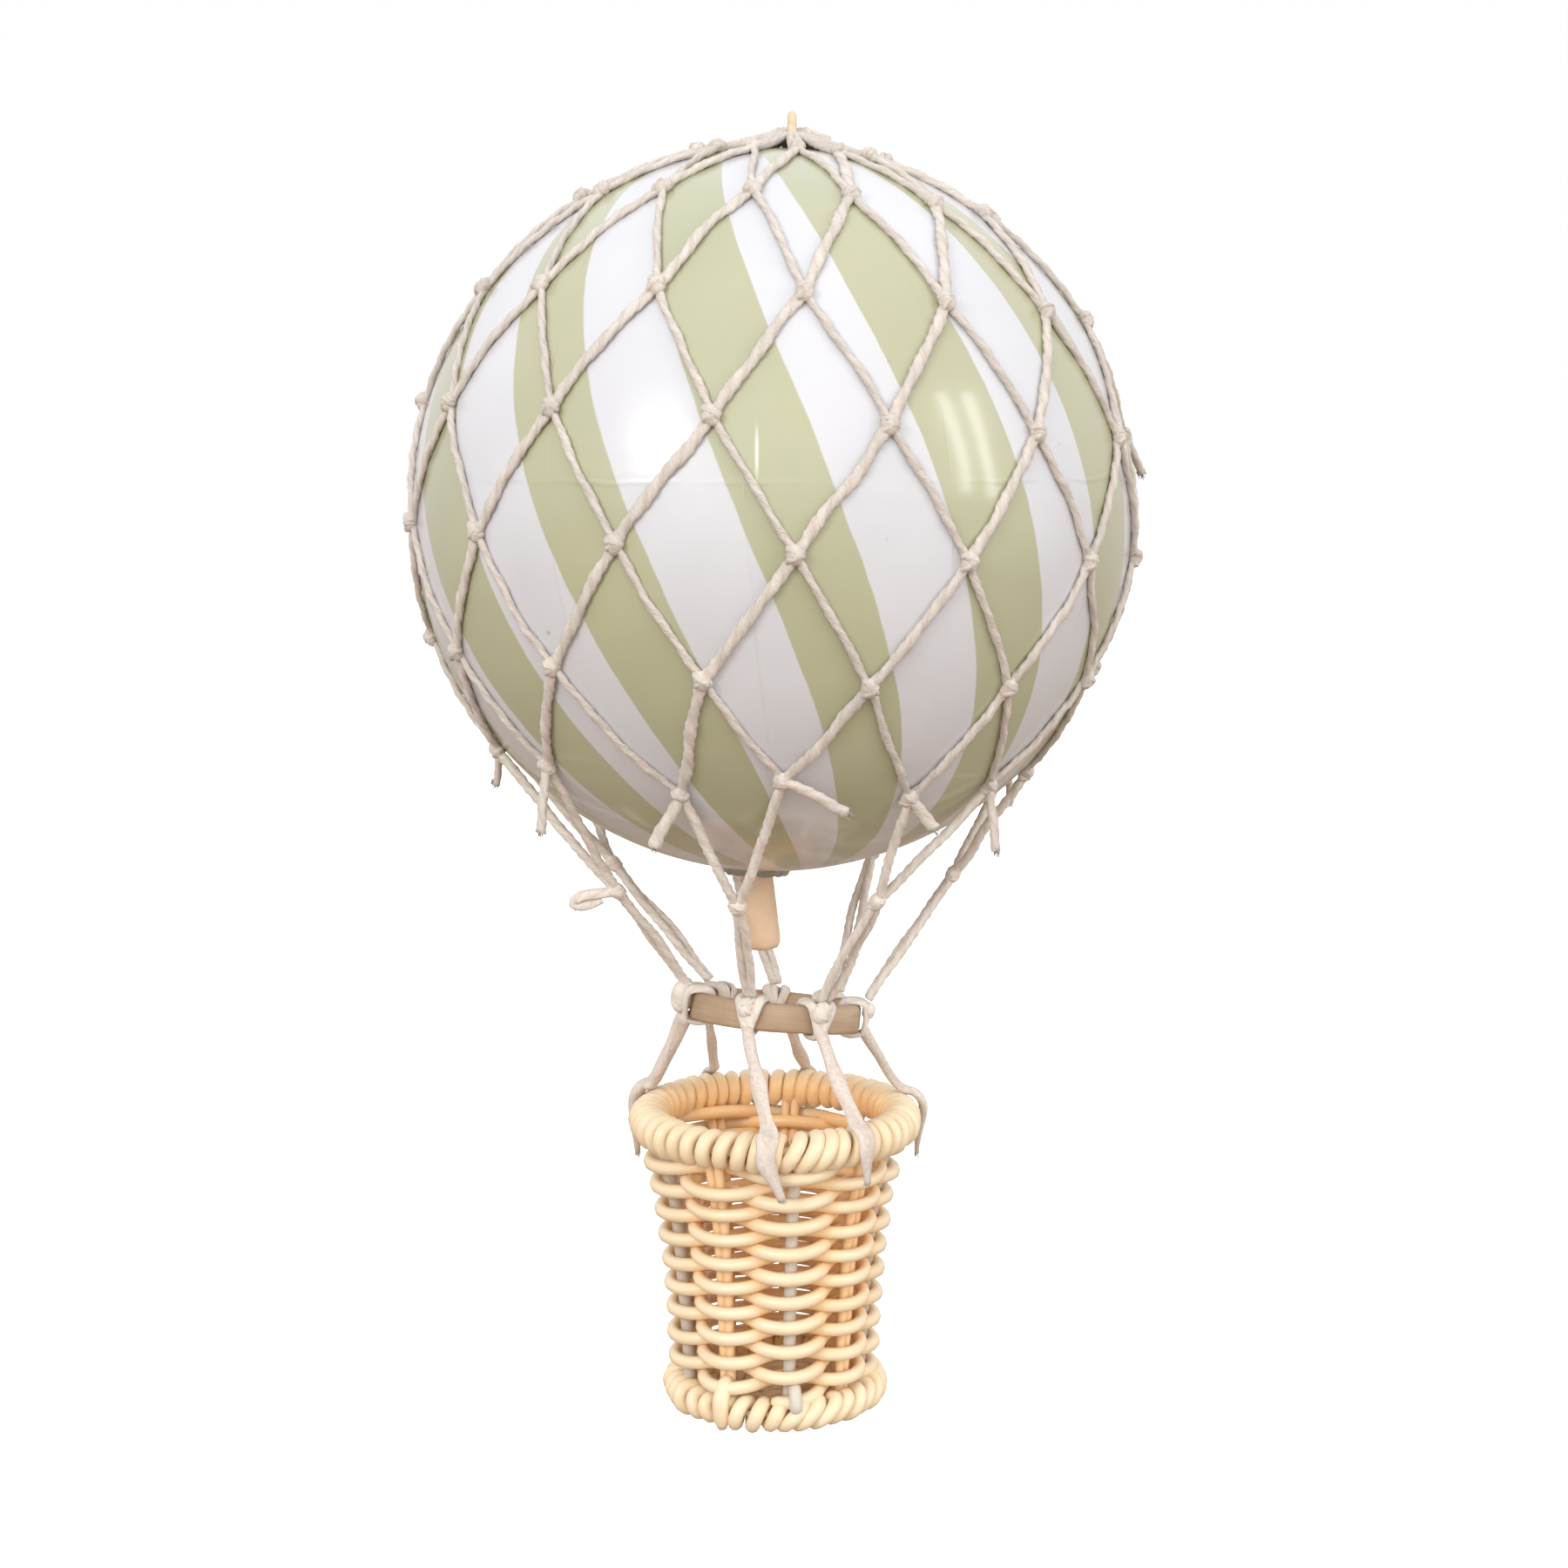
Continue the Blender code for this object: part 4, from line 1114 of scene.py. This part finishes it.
class BALLOON_OT_basket_floor(bpy.types.Operator):
    """The woven floor: spokes across the middle and a reed that winds out over and under them"""

    bl_idname = "balloon.make_basket_floor"
    bl_label = "Woven floor"

    def execute(self, context):
        settings = context.scene.basket_settings
        low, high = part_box("basket_floor")
        middle = (low.z + high.z) / 2
        radius = (high.x - low.x) / 2
        cords = Cords()
        for k in range(STAKES):
            azimuth = FIRST_STAKE + 360 / STAKES * k
            line = [AXIS + at(r, azimuth, middle) for r in np.linspace(0.0004, radius - 0.0004, 6)]
            cords.run(smooth(line, 0.001), 0.0012, sides=8)
        reed = 0.0013
        path = []
        turns = (radius - 0.0022) / (reed * 0.98)
        for i in range(int(turns * 90) + 1):
            turn = i / 90 * 360
            wave = math.cos(math.pi * (turn - FIRST_STAKE) / (360 / STAKES))
            path.append(AXIS + at(0.0016 + reed * 0.98 * turn / 360, turn, middle + 0.00042 * wave))
        cords.tapered([tuple(p) for p in path], reed, sides=8)
        hub = [AXIS + at(0.0007, a, middle) for a in np.linspace(0, 360, 19)[:-1]]
        cords.run([tuple(p) for p in hub], 0.0016, sides=8, closed=True)
        cords.made("woven_floor", rattan("floor reed", settings.colour), "rattan", "basket_floor")
        return {"FINISHED"}


ROOM = (
    # sine of the elevation from -1 to 1 as a share, colour of the light from there
    (0.00, (0.30, 0.21, 0.15, 1)),
    (0.36, (0.38, 0.31, 0.25, 1)),
    (0.52, (0.68, 0.67, 0.66, 1)),
    (0.75, (0.90, 0.91, 0.93, 1)),
    (1.00, (0.95, 0.97, 1.00, 1)),
)


def soft_room(scene):
    """A white backdrop to look at, and the soft light of a room: bright above, warm and dim from its floor."""
    world = bpy.data.worlds.new("soft room")
    scene.world = world
    world.use_nodes = True
    tree = world.node_tree
    split = tree.nodes.new("ShaderNodeSeparateXYZ")
    share = tree.nodes.new("ShaderNodeMapRange")
    share.inputs["From Min"].default_value = -1
    tree.links.new(tree.nodes.new("ShaderNodeTexCoord").outputs["Generated"], split.inputs[0])
    tree.links.new(split.outputs["Z"], share.inputs["Value"])
    ramp = tree.nodes.new("ShaderNodeValToRGB")
    while len(ramp.color_ramp.elements) < len(ROOM):
        ramp.color_ramp.elements.new(0.5)
    for stop, (place, colour) in zip(ramp.color_ramp.elements, ROOM):
        stop.position, stop.color = place, colour
    tree.links.new(share.outputs[0], ramp.inputs[0])
    room = tree.nodes["Background"]
    room.inputs["Strength"].default_value = 1.2
    tree.links.new(ramp.outputs[0], room.inputs["Color"])
    backdrop = tree.nodes.new("ShaderNodeBackground")
    backdrop.inputs["Color"].default_value = (1.0, 1.0, 1.0, 1.0)
    choice = tree.nodes.new("ShaderNodeMixShader")
    tree.links.new(tree.nodes.new("ShaderNodeLightPath").outputs["Is Camera Ray"], choice.inputs[0])
    tree.links.new(room.outputs[0], choice.inputs[1])
    tree.links.new(backdrop.outputs[0], choice.inputs[2])
    tree.links.new(choice.outputs[0], tree.nodes["World Output"].inputs["Surface"])


class BALLOON_OT_stage(bpy.types.Operator):
    """The pale floor and backdrop, the soft lights and the camera at the photo's viewing angle"""

    bl_idname = "balloon.make_stage"
    bl_label = "Stage"

    def execute(self, context):
        settings = context.scene.stage_settings
        scene = context.scene
        scene.view_settings.view_transform = "Standard"
        deselect()
        bpy.ops.mesh.primitive_plane_add(size=14, location=(0, 0, -0.42))
        floor = context.object
        floor.name = "stage_floor"
        # the floor is seen but lights nothing: the balloon hangs high over a room's darker floor
        floor.visible_diffuse = False
        floor.visible_glossy = False
        pale = Finish("pale floor", Roughness=0.9, Emission_Color=(1.0, 1.0, 1.0, 1.0), Emission_Strength=0.35)
        cloud = pale.noise(pale.place(), 3.0, 2.0)
        pale.give("Base Color", pale.mix(cloud, (0.93, 0.93, 0.93, 1), (0.95, 0.95, 0.95, 1)))
        pale.dress(floor)
        soft_room(scene)
        lights = (
            # name, azimuth, elevation, distance, width, height, watts
            ("softbox", -36.0, 22.5, 1.1, 0.31, 0.27, 3.2),
            ("window left", 60.5, 20.0, 1.3, 0.09, 0.62, 1.4),
            ("window right", 71.0, 18.0, 1.3, 0.09, 0.62, 1.4),
            ("front", -8.0, 15.0, 1.6, 1.5, 1.2, 8.3),
            ("side", 58.0, -8.0, 1.6, 1.2, 1.2, 4.6),
        )
        for name, azimuth, elevation, distance, width, height, watts in lights:
            lamp = bpy.data.lights.new(name, "AREA")
            lamp.shape = "ELLIPSE" if name == "softbox" else "RECTANGLE"
            lamp.size, lamp.size_y = width, height
            lamp.energy = watts
            obj = bpy.data.objects.new(name, lamp)
            turn = math.radians(elevation)
            obj.location = BALL_CENTRE + at(distance * math.cos(turn), azimuth, distance * math.sin(turn))
            obj.rotation_euler = (BALL_CENTRE - obj.location).to_track_quat("-Z", "Y").to_euler()
            obj.visible_glossy = name not in ("front", "side")
            scene.collection.objects.link(obj)
        camera = bpy.data.cameras.new("camera")
        camera.sensor_width = 36
        camera.lens = 60
        seen = bpy.data.objects.new("camera", camera)
        seen.location = (BALL_CENTRE.x + 0.0016, -settings.camera_distance, BALL_CENTRE.z + 0.0121)
        seen.rotation_euler = (math.pi / 2 - settings.camera_pitch, 0, 0)
        scene.collection.objects.link(seen)
        scene.camera = seen
        return {"FINISHED"}


class BALLOON_PT_panel(bpy.types.Panel):
    """Lists the balloon's operators and settings"""

    bl_label = "Balloon"
    bl_idname = "BALLOON_PT_panel"
    bl_space_type = "VIEW_3D"
    bl_region_type = "UI"
    bl_category = "Balloon"

    def draw(self, context):
        for operator in OPERATORS:
            self.layout.operator(operator.bl_idname)
        for name, kind in SETTINGS.items():
            box = self.layout.box()
            group = getattr(context.scene, name)
            for key in kind.__annotations__:
                box.prop(group, key)


SETTINGS = {
    "ball_settings": BallSettings,
    "net_settings": NetSettings,
    "basket_settings": BasketSettings,
    "stage_settings": StageSettings,
}
OPERATORS = (
    BALLOON_OT_stage,
    BALLOON_OT_ball,
    BALLOON_OT_neck,
    BALLOON_OT_hang_ring,
    BALLOON_OT_net,
    BALLOON_OT_stays,
    BALLOON_OT_load_ring,
    BALLOON_OT_basket_cords,
    BALLOON_OT_basket_wall,
    BALLOON_OT_basket_rims,
    BALLOON_OT_basket_floor,
)


def register():
    for kind in (*SETTINGS.values(), *OPERATORS, BALLOON_PT_panel):
        bpy.utils.register_class(kind)
    for name, kind in SETTINGS.items():
        setattr(bpy.types.Scene, name, PointerProperty(type=kind))


def unregister():
    for name in SETTINGS:
        delattr(bpy.types.Scene, name)
    for kind in reversed((*SETTINGS.values(), *OPERATORS, BALLOON_PT_panel)):
        bpy.utils.unregister_class(kind)


def main():
    register()
    for operator in OPERATORS:
        group, name = operator.bl_idname.split(".")
        getattr(getattr(bpy.ops, group), name)()


if __name__ == "__main__":
    main()
